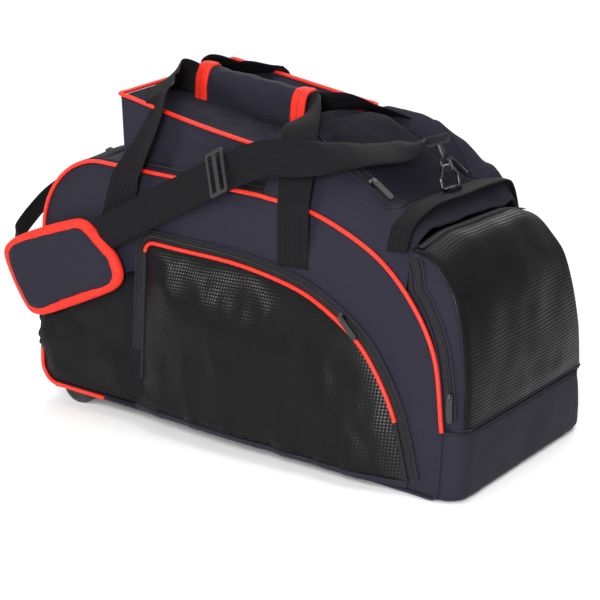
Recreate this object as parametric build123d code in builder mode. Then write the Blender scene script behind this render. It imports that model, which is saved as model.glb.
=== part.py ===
from build123d import *
import os
from math import hypot

# Wheeled hockey equipment bag. +X is the end with the boxy pocket, -X the wheel end, -Y the front
# side, +Z up. The origin is on the floor below the middle of the bag, its strap pad included.
os.makedirs("parts", exist_ok=True)

# ---- body ----
wall = 4.0                # thickness of a padded fabric panel
base_half_width = 178.0   # half the body's width on the floor
lean = 0.087              # how far a side panel leans in, per unit of height
wheel_end = -330.0        # x of the wheel end's upright face
pocket_end = 388.0        # x of the end pocket's lowest seam
corner_radius = 105.0     # the top corner over the wheels
low_corner = 34.0         # the bottom corner over the wheels
top_height = 369.0        # side seam above the wheels
base_rise = 0.039         # the base rises towards the wheels, per unit of length
foot_height = 3.0         # the base's height at the pocket end
boot_top = 92.0           # the seam below the end pocket
arch_end_x = 357.0        # where the side panel's arch comes down to that seam
reach = 240.0             # half the width of every cutting block

# ---- raised helmet box ----
box_x = (-192.0, 64.0)
box_half_width = 128.0
rim_start = 468.0
rim_end = 420.0
box_top_drop = 14.0
box_wall = 4.0

# ---- domed top and its lid ----
dome_x = (64.5, 292.0)
hinge_x = 253.0
lid_half_width = 90.0
lid_round_x = 72.0
lid_gap = 0.6

# ---- side pockets ----
pocket_depth = 31.0
pocket_left = -133.0
pocket_wall = 3.0
pocket_base = 13.0
pocket_end_x = 312.0

# ---- end pocket ----
end_inset = 5.0           # the cover stands this far inside the side panels' faces
end_wall = 3.5
end_top = 329.0

# ---- wheels ----
wheel_radius = 32.0
wheel_width = 24.0
wheel_x = -275.0
axle_radius = 4.0
tyre_thickness = 7.0
running_clearance = 0.05
housing_wall = 3.0

# ---- webbing and hardware ----
webbing = 50.0
webbing_thick = 2.4
bead = 4.0
zip_width = 11.0
zip_thick = 1.4


def base_z(x):
    """Height of the base's underside at a place along the bag."""
    return foot_height + base_rise * (pocket_end - x)


def side_y(z):
    """Half-width of the body at a height."""
    return base_half_width - lean * z


def rim_z(x):
    """Height of the helmet box's rim at a place along the bag."""
    return rim_start + (rim_end - rim_start) * (x - box_x[0]) / (box_x[1] - box_x[0])


def side_plane(side, out=0.0):
    """A plane on one side panel's outer face, its normal pointing away from the body."""
    normal = Vector(0, side, lean).normalized()
    origin = Vector(0, side * base_half_width, 0) + normal * out
    return Plane(origin=origin, x_dir=(1, 0, 0), z_dir=normal)


def shifted(points, start, end, grow):
    """Points of a bow, moved outward by grow; start and end are its directions there."""
    moved = []
    for i, (x, z) in enumerate(points):
        before = points[max(i - 1, 0)]
        after = points[min(i + 1, len(points) - 1)]
        along = (after[0] - before[0], after[1] - before[1])
        if i == 0:
            along = start
        if i == len(points) - 1:
            along = end
        length = hypot(*along)
        moved.append((x - grow * along[1] / length, z + grow * along[0] / length))
    return moved


def arch_outline(grow=0.0):
    """The side panel's outline, seen from the front, as a face in the XZ plane."""
    start, end = (1, -0.06), (0.05, -1)
    bow_points = [(60, 354), (152, 340), (246, 299), (303, 247), (340, 184), (arch_end_x, boot_top)]
    bow_points = shifted(bow_points, start, end, grow)
    low = base_z(wheel_end + low_corner) - grow
    turn = top_height - corner_radius
    left_x = wheel_end - grow
    with BuildSketch(Plane.XZ) as face:
        with BuildLine():
            left = Line((left_x, low + low_corner + grow), (left_x, turn))
            corner = RadiusArc(
                left @ 1, (wheel_end + corner_radius, top_height + grow), corner_radius + grow
            )
            deck = Line(corner @ 1, bow_points[0])
            bow = Spline(*bow_points, tangents=[start, end])
            drop = Line(bow @ 1, (arch_end_x + grow, base_z(arch_end_x) - grow))
            floor = Line(drop @ 1, (wheel_end + low_corner, low))
            RadiusArc(floor @ 1, left @ 0, low_corner + grow)
        make_face()
    return face.sketch


def pocket_outline(grow=0.0):
    """A side pocket's outline, seen from the front, as a face in the XZ plane."""
    start, end = (1, -0.06), (0.3, -1)
    low = base_z(pocket_end_x) + pocket_base
    bow_points = [(33, 257), (130, 238), (190, 210), (238, 173), (283, 105), (pocket_end_x, low)]
    bow_points = shifted(bow_points, start, end, grow)
    left_x = pocket_left - grow
    with BuildSketch(Plane.XZ) as face:
        with BuildLine():
            left = Line((left_x, base_z(pocket_left) + pocket_base), (left_x, 252))
            corner = RadiusArc(left @ 1, (pocket_left + 14, 266 + grow), 14 + grow)
            top = Line(corner @ 1, bow_points[0])
            bow = Spline(*bow_points, tangents=[start, end])
            Line(bow @ 1, left @ 0)
        make_face()
    return face.sketch


def ribbon(stations, width, thick):
    """A webbing strap: straight runs between flat sections, each (place, across, along)."""
    faces = []
    for place, across, along in stations:
        plane = Plane(origin=place, x_dir=across, z_dir=along)
        with BuildSketch(plane) as section:
            Rectangle(width, thick)
        faces.append(section.sketch.faces()[0])
    with BuildPart() as strap:
        loft(faces, ruled=True)
    return strap.part


def finish(piece, name):
    """Label one piece and write it under its own name."""
    piece.label = name
    export_step(piece, f"parts/{name}.step")


arch = arch_outline()
arch_inner = arch_outline(-wall)
sides = {"front": -1, "rear": 1}

# ---- side panels: leaning slabs with the arch's outline ----
for side_name, side in sides.items():
    with BuildPart() as side_panel:
        extrude(arch, amount=reach, both=True)
        split(bisect_by=side_plane(side), keep=Keep.BOTTOM)
        split(bisect_by=side_plane(side, -wall), keep=Keep.TOP)
    finish(side_panel.part, f"{side_name}_side_panel")

    with BuildPart() as side_piping:
        with BuildSketch(Plane.XZ) as ring:
            add(arch_outline(2.2))
            add(arch_outline(-1.8), mode=Mode.SUBTRACT)
        extrude(amount=reach, both=True)
        split(bisect_by=side_plane(side, bead), keep=Keep.BOTTOM)
        split(bisect_by=side_plane(side), keep=Keep.TOP)
    finish(side_piping.part, f"{side_name}_side_piping")

# ---- the band that joins the side panels: wheel end, deck, pocket divider and base ----
with BuildPart() as band:
    extrude(arch, amount=reach, both=True)
    extrude(arch_inner, amount=reach, both=True, mode=Mode.SUBTRACT)
    split(bisect_by=side_plane(-1, -wall), keep=Keep.BOTTOM)
    split(bisect_by=side_plane(1, -wall), keep=Keep.BOTTOM)

deck_start = wheel_end + corner_radius
with BuildPart() as wheel_end_panel:
    add(band.part)
    with Locations(((wheel_end - 20 + deck_start) / 2, 0, 240)):
        Box(deck_start - wheel_end + 20, 2 * reach, 352, mode=Mode.INTERSECT)
finish(wheel_end_panel.part, "wheel_end_panel")

with BuildPart() as deck_panel:
    add(band.part)
    with Locations(((deck_start + box_x[1]) / 2, 0, 350)):
        Box(box_x[1] - deck_start, 2 * reach, 60, mode=Mode.INTERSECT)
    # the way down from the helmet box into the main compartment
    with Locations(((box_x[0] + box_x[1]) / 2, 0, 350)):
        Box(box_x[1] - box_x[0] - 60, 150, 80, mode=Mode.SUBTRACT)
finish(deck_panel.part, "deck_panel")

with BuildPart() as end_divider:
    add(band.part)
    with Locations(((dome_x[1] + 380) / 2, 0, (boot_top + 300) / 2)):
        Box(380 - dome_x[1], 2 * reach, 300 - boot_top, mode=Mode.INTERSECT)
finish(end_divider.part, "end_divider")

housing_x = 41.0
housing_inner_y = 128.0
housing_outer_y = 164.0
housing_top = 76.0
housing_low = 20.0
seat = 0.3                # clearance around what sits in a cut-out

with BuildPart() as base_panel:
    add(band.part)
    with Locations((20, 0, 32)):
        Box(760, 2 * reach, 64, mode=Mode.INTERSECT)
    for side in sides.values():
        with Locations((wheel_x, side * (housing_inner_y + reach) / 2, 32)):
            Box(2 * (housing_x + seat), reach - housing_inner_y + 2 * seat, 80, mode=Mode.SUBTRACT)
finish(base_panel.part, "base_panel")

board_x = (-226.0, 350.0)
board_thick = 3.0
with BuildPart() as base_board:
    with BuildSketch(Plane.XZ):
        with BuildLine():
            lift = wall + seat
            Polyline(
                (board_x[0], base_z(board_x[0]) + lift),
                (board_x[1], base_z(board_x[1]) + lift),
                (board_x[1], base_z(board_x[1]) + lift + board_thick),
                (board_x[0], base_z(board_x[0]) + lift + board_thick),
                close=True,
            )
        make_face()
    extrude(amount=164, both=True)
finish(base_board.part, "base_board")

# ---- wheels, each in its own corner housing ----
for side_name, side in sides.items():
    inner = side * housing_inner_y
    outer = side * housing_outer_y
    middle = (inner + outer) / 2
    with BuildPart() as housing:
        with Locations((wheel_x, middle, (housing_low + housing_top) / 2)):
            Box(2 * housing_x, housing_outer_y - housing_inner_y, housing_top - housing_low)
        with Locations((wheel_x, middle, (housing_low + housing_top) / 2 - housing_wall)):
            Box(
                2 * (housing_x - housing_wall),
                housing_outer_y - housing_inner_y - 2 * housing_wall,
                housing_top - housing_low,
                mode=Mode.SUBTRACT,
            )
        with Locations(Location((wheel_x, middle, wheel_radius), (90, 0, 0))):
            Cylinder(axle_radius, 60, mode=Mode.SUBTRACT)
    finish(housing.part, f"{side_name}_wheel_housing")

    with BuildPart() as axle:
        with Locations(Location((wheel_x, middle, wheel_radius), (90, 0, 0))):
            Cylinder(axle_radius, housing_outer_y - housing_inner_y)
    finish(axle.part, f"{side_name}_axle")

    with BuildPart() as hub:
        with Locations(Location((wheel_x, middle, wheel_radius), (90, 0, 0))):
            Cylinder(wheel_radius - tyre_thickness, wheel_width - 2)
            Cylinder(8, wheel_width + 3)
            Cylinder(axle_radius + running_clearance, 60, mode=Mode.SUBTRACT)
    finish(hub.part, f"{side_name}_wheel_hub")

    with BuildPart() as tyre:
        with Locations(Location((wheel_x, middle, wheel_radius), (90, 0, 0))):
            Cylinder(wheel_radius, wheel_width)
            Cylinder(wheel_radius - tyre_thickness, 60, mode=Mode.SUBTRACT)
        fillet(tyre.edges().filter_by(GeomType.CIRCLE).group_by(SortBy.RADIUS)[-1], 2.5)
    finish(tyre.part, f"{side_name}_tyre")

    with BuildPart() as skid:
        with BuildSketch(Plane.XZ.offset(-side * 120)):
            with BuildLine():
                Polyline(
                    (-200, base_z(-200)), (arch_end_x, base_z(arch_end_x)),
                    (arch_end_x, base_z(380)), (380, base_z(380)), (380, 0), (290, 0),
                    (-200, base_z(-200) - 4), close=True,
                )
            make_face()
        extrude(amount=11, both=True)
    finish(skid.part, f"{side_name}_skid")

# ---- boot: the boxy lower end that the end pocket stands on ----
boot_x = arch_end_x + seat
boot_round = 28.0
with BuildPart() as boot:
    with BuildSketch() as plan:
        with Locations(((boot_x + pocket_end) / 2, 0)):
            Rectangle(pocket_end - boot_x, 2 * base_half_width)
        fillet(plan.vertices().group_by(Axis.X)[-1], boot_round)
    extrude(amount=boot_top)
    with BuildSketch(Plane.XY.offset(base_z(boot_x) + wall)) as cavity:
        with Locations(((boot_x + pocket_end) / 2 - wall, 0)):
            Rectangle(pocket_end - boot_x, 2 * base_half_width - 2 * wall - 10)
        fillet(cavity.vertices().group_by(Axis.X)[-1], boot_round - wall)
    extrude(amount=boot_top - 2 * wall - base_z(boot_x), mode=Mode.SUBTRACT)
    split(bisect_by=side_plane(-1), keep=Keep.BOTTOM)
    split(bisect_by=side_plane(1), keep=Keep.BOTTOM)
    with Locations((380, 0, base_z(380) / 2)):
        Box(80, 2 * reach, base_z(380), mode=Mode.SUBTRACT)
finish(boot.part, "end_boot")

# ---- domed top and its lid ----
dome_crown = {64.5: 444.0, 110.0: 436.0, 160.0: 418.0, 210.0: 388.0, 253.0: 353.0, 292.0: 336.0}
dome_edge = {64.5: 353.0, 110.0: 347.0, 160.0: 338.0, 210.0: 317.0, 253.0: 294.0, 292.0: 259.0}
dome_power = 3.2
dome_steps = (1.0, 0.93, 0.8, 0.6, 0.35, 0.0)


def dome_block(shrink, start, end):
    """The domed top as a closed block between two places along the bag."""
    with BuildPart() as block:
        for x, crown in dome_crown.items():
            edge = dome_edge[x]
            half = side_y(edge) - shrink
            rise = crown - shrink - edge
            place = min(max(x, start), end)
            points = [(half * u, edge + rise * (1 - u**dome_power)) for u in dome_steps]
            points = points + [(-y, z) for y, z in reversed(points[:-1])]
            with BuildSketch(Plane.YZ.offset(place)):
                with BuildLine():
                    Polyline(*points, (-half, edge - 60), (half, edge - 60), close=True)
                make_face()
        loft()
    return block.part


dome_outer = dome_block(0.0, *dome_x)
dome_inner = dome_block(wall + 0.5, dome_x[0] + wall, dome_x[1] - wall)
with BuildPart() as arch_block:
    extrude(arch, amount=reach, both=True)


lid_low = 322.0           # below the lid, above the dome's skirt


def lid_plan(gap):
    """A prism with the lid's D-shaped plan."""
    with BuildPart() as prism:
        with BuildSketch(Plane.XY.offset(lid_low)) as plan:
            with Locations(((lid_round_x + 3 + hinge_x) / 2, 0)):
                Rectangle(hinge_x - lid_round_x - 3 - 2 * gap, 2 * (lid_half_width - gap))
            fillet(plan.vertices().group_by(Axis.X)[0], 66 - gap)
        extrude(amount=250)
    return prism.part


lid_prism = lid_plan(lid_gap)
lid_hole = lid_plan(0.0)
with BuildPart() as dome_panel:
    add(dome_outer)
    add(dome_inner, mode=Mode.SUBTRACT)
    add(arch_block.part, mode=Mode.SUBTRACT)
    add(lid_hole, mode=Mode.SUBTRACT)
finish(dome_panel.part, "dome_panel")

with BuildPart() as main_lid:
    add(dome_outer)
    add(dome_inner, mode=Mode.SUBTRACT)
    add(lid_prism, mode=Mode.INTERSECT)
finish(main_lid.part, "main_lid")

# ---- raised helmet box ----
box_low = 345.0
door_half_width = box_half_width - box_wall - 0.5


def rim_outline(drop, x_from, x_to):
    """The box seen from the front: from below the deck up to the sloping rim, less a drop."""
    with BuildSketch(Plane.XZ) as face:
        with BuildLine():
            Polyline(
                (x_from, box_low), (x_from, rim_z(x_from) - drop), (x_to, rim_z(x_to) - drop),
                (x_to, box_low), close=True,
            )
        make_face()
    return face.sketch


with BuildPart() as helmet_walls:
    extrude(rim_outline(0, *box_x), amount=box_half_width, both=True)
    extrude(
        rim_outline(0, box_x[0] - 1, box_x[1] - box_wall),
        amount=box_half_width - box_wall, both=True, mode=Mode.SUBTRACT,
    )
    add(arch_block.part, mode=Mode.SUBTRACT)
finish(helmet_walls.part, "helmet_box_walls")

with BuildPart() as helmet_top:
    extrude(
        rim_outline(box_top_drop, box_x[0], box_x[1] - box_wall),
        amount=box_half_width - box_wall, both=True,
    )
    extrude(
        rim_outline(box_top_drop + box_wall, box_x[0] - 1, box_x[1]),
        amount=box_half_width, both=True, mode=Mode.SUBTRACT,
    )
finish(helmet_top.part, "helmet_box_top")

door_gap = 0.6
with BuildPart() as helmet_door:
    extrude(
        rim_outline(box_top_drop + box_wall + door_gap, box_x[0], box_x[0] + box_wall),
        amount=door_half_width, both=True,
    )
    with Locations((box_x[0], 0, top_height - 15)):
        Box(60, 2 * reach, 33, mode=Mode.SUBTRACT)
finish(helmet_door.part, "helmet_box_door")

with BuildPart() as helmet_piping:
    with BuildSketch(Plane.XY.offset(300)) as ring:
        with Locations(((box_x[0] + box_x[1]) / 2, 0)):
            Rectangle(box_x[1] - box_x[0] + 1, 2 * box_half_width)
            Rectangle(box_x[1] - box_x[0] - 6, 2 * box_half_width - 6, mode=Mode.SUBTRACT)
    extrude(amount=220)
    with BuildSketch(Plane.XZ) as rim_strip:
        with BuildLine():
            Polyline(
                (box_x[0] - 4, rim_z(box_x[0] - 4)), (box_x[1] + 4, rim_z(box_x[1] + 4)),
                (box_x[1] + 4, rim_z(box_x[1] + 4) + bead), (box_x[0] - 4, rim_z(box_x[0] - 4) + bead),
                close=True,
            )
        make_face()
    extrude(amount=reach, both=True, mode=Mode.INTERSECT)
    with Locations((box_x[1] + 10, 0, 440)):
        Box(20, 2 * reach, 100, mode=Mode.SUBTRACT)
finish(helmet_piping.part, "helmet_box_piping")

# ---- side pockets: a fixed base strip, and an arched flap that folds out about its lower edge ----
pocket = pocket_outline()


def pocket_strip(side):
    """The fixed strip that closes a side pocket below its flap."""
    with BuildPart() as strip:
        with BuildSketch(Plane.XZ):
            with BuildLine():
                Polyline(
                    (pocket_left, base_z(pocket_left) + 2.5), (pocket_end_x, base_z(pocket_end_x) + 2.5),
                    (pocket_end_x, base_z(pocket_end_x) + pocket_base - seat),
                    (pocket_left, base_z(pocket_left) + pocket_base - seat), close=True,
                )
            make_face()
        extrude(amount=reach, both=True)
        split(bisect_by=side_plane(side, pocket_depth), keep=Keep.BOTTOM)
        split(bisect_by=side_plane(side), keep=Keep.TOP)
    return strip.part


def pocket_space():
    """The inside of a side pocket's flap, open below, seen from the front."""
    with BuildSketch(Plane.XZ) as face:
        add(pocket_outline(-pocket_wall))
        with Locations((80, 30)):
            Rectangle(2 * (80 - pocket_left - pocket_wall), 60)
        with Locations((pocket_end_x + 50 - 3 * pocket_wall, 40)):
            Rectangle(100, 120, mode=Mode.SUBTRACT)
    return face.sketch


for side_name, side in sides.items():
    finish(pocket_strip(side), f"{side_name}_pocket_base")

    with BuildPart() as space:
        extrude(pocket_space(), amount=reach, both=True)
        split(bisect_by=side_plane(side, pocket_depth - pocket_wall), keep=Keep.BOTTOM)

    with BuildPart() as flap:
        extrude(pocket, amount=reach, both=True)
        split(bisect_by=side_plane(side, pocket_depth), keep=Keep.BOTTOM)
        split(bisect_by=side_plane(side, seat), keep=Keep.TOP)
        add(space.part, mode=Mode.SUBTRACT)
    finish(flap.part, f"{side_name}_pocket_flap")

# ---- end pocket: a deep cover that folds out about its lowest seam ----


def end_outline(shrink):
    """The end pocket seen from the front, standing on the boot, less a shrink on its outer faces."""
    face_points = [(pocket_end, boot_top + 1.5), (387, 161), (377, 215), (363, 263), (341, 305)]
    top_left = dome_x[1] + seat - (2 if shrink else 0)
    with BuildSketch(Plane.XZ) as face:
        with BuildLine():
            front = Spline(
                *[(x - shrink, z) for x, z in face_points], tangents=[(0, 1), (-0.62, 0.78)],
            )
            nose = Spline(
                front @ 1, (326, end_top - 7 - shrink), (312, end_top - shrink),
                tangents=[(-0.62, 0.78), (-1, 0)],
            )
            top = Line(nose @ 1, (top_left, end_top - shrink))
            low = boot_top + (0 if shrink else 1)
            Polyline(top @ 1, (top_left, low), (pocket_end - shrink, low), front @ 0)
        make_face()
    return face.sketch


grown_arch = arch_outline(seat)
with BuildPart() as end_space:
    extrude(end_outline(end_wall), amount=reach, both=True)
    split(bisect_by=side_plane(-1, -end_inset - end_wall), keep=Keep.BOTTOM)
    split(bisect_by=side_plane(1, -end_inset - end_wall), keep=Keep.BOTTOM)

with BuildPart() as end_cover:
    extrude(end_outline(0.0), amount=reach, both=True)
    split(bisect_by=side_plane(-1, -end_inset), keep=Keep.BOTTOM)
    split(bisect_by=side_plane(1, -end_inset), keep=Keep.BOTTOM)
    add(end_space.part, mode=Mode.SUBTRACT)
    extrude(grown_arch, amount=reach, both=True, mode=Mode.SUBTRACT)
finish(end_cover.part, "end_pocket_cover")

# ---- zips: a raised tape with its teeth, beside each opening ----


slider_height = 3.0
bridge_height = 6.0
pull_height = 7.4         # the pull's pivot above the tape
pull_thick = 2.0
tape_gap = 1.0


def zip_slider(place, along, out, name):
    """A slider's body and its pull tab, lying on a zip; the tab hangs along the zip."""
    plane = Plane(origin=place, x_dir=along, z_dir=out)
    with BuildPart() as slider:
        with BuildSketch(plane):
            RectangleRounded(13, 9, 3)
        extrude(amount=slider_height)
        with BuildSketch(plane.offset(slider_height)):
            Rectangle(7, 3)
        extrude(amount=bridge_height)
    finish(slider.part, f"{name}_slider")
    # the pull's fork clears the slider's body as it swings about the bridge
    with BuildPart() as pull:
        with BuildSketch(plane.offset(pull_height - pull_thick / 2)):
            with Locations((15, 0)):
                RectangleRounded(38, 8, 3.5)
            Rectangle(9, 4, mode=Mode.SUBTRACT)
        extrude(amount=pull_thick)
    finish(pull.part, f"{name}_pull")


for side_name, side in sides.items():
    with BuildPart() as pocket_tape:
        with BuildSketch(Plane.XZ):
            add(pocket_outline(zip_width + tape_gap))
            add(pocket_outline(tape_gap), mode=Mode.SUBTRACT)
            with Locations((90, 0)):
                Rectangle(600, 2 * (base_z(pocket_left) + pocket_base), mode=Mode.SUBTRACT)
        extrude(amount=reach, both=True)
        split(bisect_by=side_plane(side, zip_thick), keep=Keep.BOTTOM)
        split(bisect_by=side_plane(side), keep=Keep.TOP)
    finish(pocket_tape.part, f"{side_name}_pocket_zip")

with BuildPart() as tape_ring:
    add(lid_plan(-zip_width))
    add(lid_plan(-tape_gap / 2), mode=Mode.SUBTRACT)
    with Locations((hinge_x + reach / 2, 0, reach)):
        Box(reach, 2 * reach, 2 * reach, mode=Mode.SUBTRACT)

with BuildPart() as lid_tape:
    add(dome_block(-zip_thick, *dome_x))
    add(dome_outer, mode=Mode.SUBTRACT)
    add(tape_ring.part, mode=Mode.INTERSECT)
finish(lid_tape.part, "lid_zip")

# ---- zip sliders with their pull tabs ----
slider_drop = 0.25
for side_name, side in sides.items():
    place = Vector(203, side * (side_y(213) + zip_thick + slider_drop), 213)
    zip_slider(place, Vector(0.72, side * lean * 0.69, -0.69), Vector(0, side, lean), f"{side_name}_pocket")
    place = Vector(205, side * (lid_half_width + 6), 376.6)
    zip_slider(place, Vector(0.81, 0, -0.58), Vector(0.53, side * 0.43, 0.73), f"{side_name}_lid")
    place = Vector(366, side * (side_y(140) - end_inset + slider_drop), 140)
    zip_slider(place, Vector(0.06, side * lean, -1), Vector(0, side, lean), f"{side_name}_end")

# ---- webbing: haul handle, carry handles, grip, shoulder strap ----
haul_x = 273.0
haul_width = 30.0
haul_points = [(-151, 296), (-147, 311), (-129, 338), (-80, 354), (0, 355)]
haul_points = haul_points + [(-y, z) for y, z in reversed(haul_points[:-1])]
haul_turn = (haul_points[1][0] - haul_points[0][0], haul_points[1][1] - haul_points[0][1])
haul_return = (haul_turn[0], -haul_turn[1])
haul_upper = shifted(haul_points, haul_turn, haul_return, webbing_thick / 2)
haul_lower = shifted(haul_points, haul_turn, haul_return, -webbing_thick / 2)
with BuildPart() as haul:
    with BuildSketch(Plane.YZ.offset(haul_x)):
        with BuildLine():
            Polyline(*haul_upper, *reversed(haul_lower), close=True)
        make_face()
    extrude(amount=haul_width / 2, both=True)
finish(haul.part, "haul_handle")


def carry_handle(side):
    """One carry handle: from the side panel up over the top, along the grip and down again."""
    s = side
    lie = Vector(1, 0, 0)
    stand = Vector(0, 0, 1)
    slant = Vector(0.9, 0, -0.42)
    lean_in = Vector(0, -s * lean, 1)
    foot_y = side_y(268) + 2.2
    top_y = side_y(352) + bead + 2.4
    stations = [
        ((121, s * foot_y, 268), lie, lean_in),
        ((121, s * top_y, 352), lie, lean_in),
        ((112, s * 128, 398), Vector(1, -s * 0.1, 0), Vector(-0.15, -s * 0.7, 0.7)),
        ((84, s * 84, 438), Vector(0.9, -s * 0.4, 0.2), Vector(-0.5, -s * 0.8, 0.35)),
        ((52, s * 30, 456), Vector(0.5, -s * 0.3, 0.8), Vector(-0.75, -s * 0.6, 0.1)),
        ((26, s * 5, 456), stand, Vector(-1, 0, 0.1)),
        ((-154, s * 5, 480), stand, Vector(-1, 0, 0.1)),
        ((-169, s * 30, 483), Vector(0.35, -s * 0.2, 0.9), Vector(-0.5, s * 0.85, 0)),
        ((-156, s * 82, 480), Vector(0.95, -s * 0.2, 0.2), Vector(0.2, s, -0.2)),
        ((-120, s * 130, 468), Vector(0.95, -s * 0.2, -0.2), Vector(0.1, s, -0.6)),
        ((-116, s * 141, 446), slant, Vector(-0.3, s * 0.2, -0.9)),
        ((-136, s * 144, 412), slant, Vector(-0.42, s * 0.1, -0.9)),
        ((-157, s * 153.5, 370), slant, Vector(-0.42, s * 0.15, -0.9)),
        ((-168, s * (top_y + 0.4), 346), slant, Vector(-0.42, s * lean, -0.9)),
        ((-194, s * (foot_y + 0.5), 268), slant, Vector(-0.42, s * lean, -0.9)),
    ]
    return ribbon(stations, webbing, webbing_thick)


for side_name, side in sides.items():
    finish(carry_handle(side), f"{side_name}_carry_handle")

grip_start = Vector(22, 0, 456.6)
grip_end = Vector(-150, 0, 479.6)
grip_height = 56.0
grip_width = 26.0
grip_wall = 5.0
grip_plane = Plane(origin=grip_end, x_dir=(0, 1, 0), z_dir=grip_start - grip_end)
with BuildPart() as grip:
    with BuildSketch(grip_plane):
        RectangleRounded(grip_width, grip_height + 2 * grip_wall, 11)
        Rectangle(14, grip_height, mode=Mode.SUBTRACT)
    extrude(amount=(grip_start - grip_end).length)
finish(grip.part, "grip_wrap")

strap_stations = [
    ((232, -9, 425), Vector(0.25, -0.6, 0.7), Vector(-0.85, -0.5, -0.1)),
    ((212, -40, 419), Vector(0.1, -0.1, 0.9), Vector(-0.7, -0.7, -0.1)),
    ((190, -75, 418), Vector(0.1, 0.4, 0.85), Vector(-0.6, -0.8, 0)),
    ((164, -108, 418), Vector(0.1, 0.4, 0.85), Vector(-0.65, -0.75, 0)),
    ((134, -141, 413), Vector(0, 0.3, 0.95), Vector(-0.9, -0.45, 0)),
    ((82, -153, 406), Vector(-0.2, 0.25, 0.93), Vector(-0.95, -0.15, -0.2)),
    ((31, -159, 389), Vector(-0.35, 0.2, 0.9), Vector(-0.92, -0.1, -0.36)),
    ((-92, -168, 326), Vector(-0.43, 0.08, 0.9), Vector(-0.9, -0.02, -0.43)),
    ((-182, -180, 279), Vector(-0.4, 0, 0.92), Vector(-0.92, 0, -0.4)),
]
shoulder_strap = ribbon(strap_stations, webbing, webbing_thick)
finish(shoulder_strap, "shoulder_strap")

pad_length = 215.0
pad_width = 109.0
pad_thick = 12.0
pad_round = 26.0
pad_centre = Vector(-274, -181, 216)
pad_plane = Plane(origin=pad_centre, x_dir=(0.942, 0, 0.336), z_dir=(0, -1, 0))
with BuildPart() as pad:
    with BuildSketch(pad_plane.offset(-pad_thick / 2)):
        RectangleRounded(pad_length, pad_width, pad_round)
    extrude(amount=pad_thick)
finish(pad.part, "shoulder_pad")

strap_tail = [
    ((-374, -172, 226), Vector(0.3, 0, 0.95), Vector(-0.95, 0.1, 0.3)),
    ((-388, -158, 242), Vector(0.1, 0.35, 0.9), Vector(-0.3, 0.9, 0.35)),
    ((-386, -100, 284), Vector(0.2, -0.5, 0.8), Vector(0.05, 0.85, 0.5)),
    ((-383, -30, 316), Vector(0.45, -0.3, 0.8), Vector(0.1, 0.9, 0.35)),
]
finish(ribbon(strap_tail, webbing * 0.6, webbing_thick), "shoulder_strap_tail")

# ---- rings, hooks and the strap's adjuster ----
wire = 2.3


def d_ring(origin, across, up, name):
    """A wire ring with a straight bar through origin."""
    plane = Plane(origin=origin, x_dir=across, z_dir=Vector(*across).cross(Vector(*up)))
    half, height = 22.0, 30.0
    with BuildPart() as ring:
        with BuildLine(plane) as path:
            FilletPolyline(
                (half, 0), (half, 0.5 * height), (0.45 * half, height),
                (-0.45 * half, height), (-half, 0.5 * height), (-half, 0), radius=5, close=True,
            )
        with BuildSketch(Plane(origin=path.line @ 0, z_dir=path.line % 0)):
            Circle(wire)
        sweep()
    finish(ring.part, name)


def snap_hook(origin, along, across, name):
    """A hook round the wire at origin, its stem and the wide eye that the webbing is sewn to."""
    plane = Plane(origin=origin, x_dir=along, z_dir=across)
    with BuildPart() as hook:
        with BuildLine(plane) as path:
            FilletPolyline((24, 0), (14, 0), (9, -7), (-7, -7), (-7, 7), (5, 7), radius=3.5)
        with BuildSketch(Plane(origin=path.line @ 0, z_dir=path.line % 0)):
            Circle(2.4)
        sweep()
        with BuildSketch(Plane(origin=plane.from_local_coords((16, 0, 0)), z_dir=along)):
            Circle(4.5)
        extrude(amount=14)
        eye = Plane(origin=plane.from_local_coords((30, 0, 0)), x_dir=across, z_dir=plane.y_dir)
        with BuildSketch(eye.offset(-2)):
            with Locations((0, 6)):
                RectangleRounded(60, 14, 4)
                RectangleRounded(53, 7, 2, mode=Mode.SUBTRACT)
        extrude(amount=4)
    finish(hook.part, name)


end_bar = Vector(265.5, 0, 362)
end_up = Vector(-0.25, 0, 0.97)
d_ring(end_bar, (0, 1, 0), end_up, "end_ring")
end_ring_top = end_bar + end_up.normalized() * 30
snap_hook(end_ring_top, Vector(-0.45, 0, 0.89), Vector(0, 1, 0), "end_snap_hook")
with BuildPart() as end_tab:
    with BuildSketch(Plane.XZ):
        with Locations((end_bar.X + 2, end_bar.Z - 1)):
            Rectangle(13, 7)
        with Locations((end_bar.X, end_bar.Z)):
            Circle(wire + seat, mode=Mode.SUBTRACT)
            with Locations((0, 6)):
                Rectangle(3, 12, mode=Mode.SUBTRACT)
    extrude(amount=13, both=True)
finish(end_tab.part, "end_ring_tab")

tail_bar = Vector(-308, 0, 352)
tail_up = Vector(-0.97, 0, -0.2)
d_ring(tail_bar, (0, 1, 0), tail_up, "wheel_end_ring")
tail_end = tail_bar + tail_up.normalized() * 30
snap_hook(tail_end, Vector(-0.9, 0, -0.44), Vector(0, 1, 0), "wheel_end_snap_hook")
with BuildPart() as tail_tab:
    with BuildSketch(Plane.XZ):
        with BuildLine():
            Polyline((-313, 347), (-313, 357), (-300, 358), (-281, 356), (-281, 354), (-300, 346), close=True)
        make_face()
        with Locations((tail_bar.X, tail_bar.Z)):
            Circle(wire + seat, mode=Mode.SUBTRACT)
            with Locations((-6, 0)):
                Rectangle(12, 3, mode=Mode.SUBTRACT)
    extrude(amount=13, both=True)
finish(tail_tab.part, "wheel_end_tab")

glide_plane = Plane(
    origin=Vector(8, -160, 379) + Vector(-0.2, -0.9, 0.25).normalized() * 8,
    x_dir=(-0.9, -0.1, -0.4), z_dir=(-0.2, -0.9, 0.25),
)
with BuildPart() as tri_glide:
    with BuildSketch(glide_plane):
        RectangleRounded(34, 62, 4)
        with Locations((-8, 0), (8, 0)):
            RectangleRounded(9, 52, 2, mode=Mode.SUBTRACT)
    extrude(amount=3)
finish(tri_glide.part, "strap_adjuster")
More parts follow.
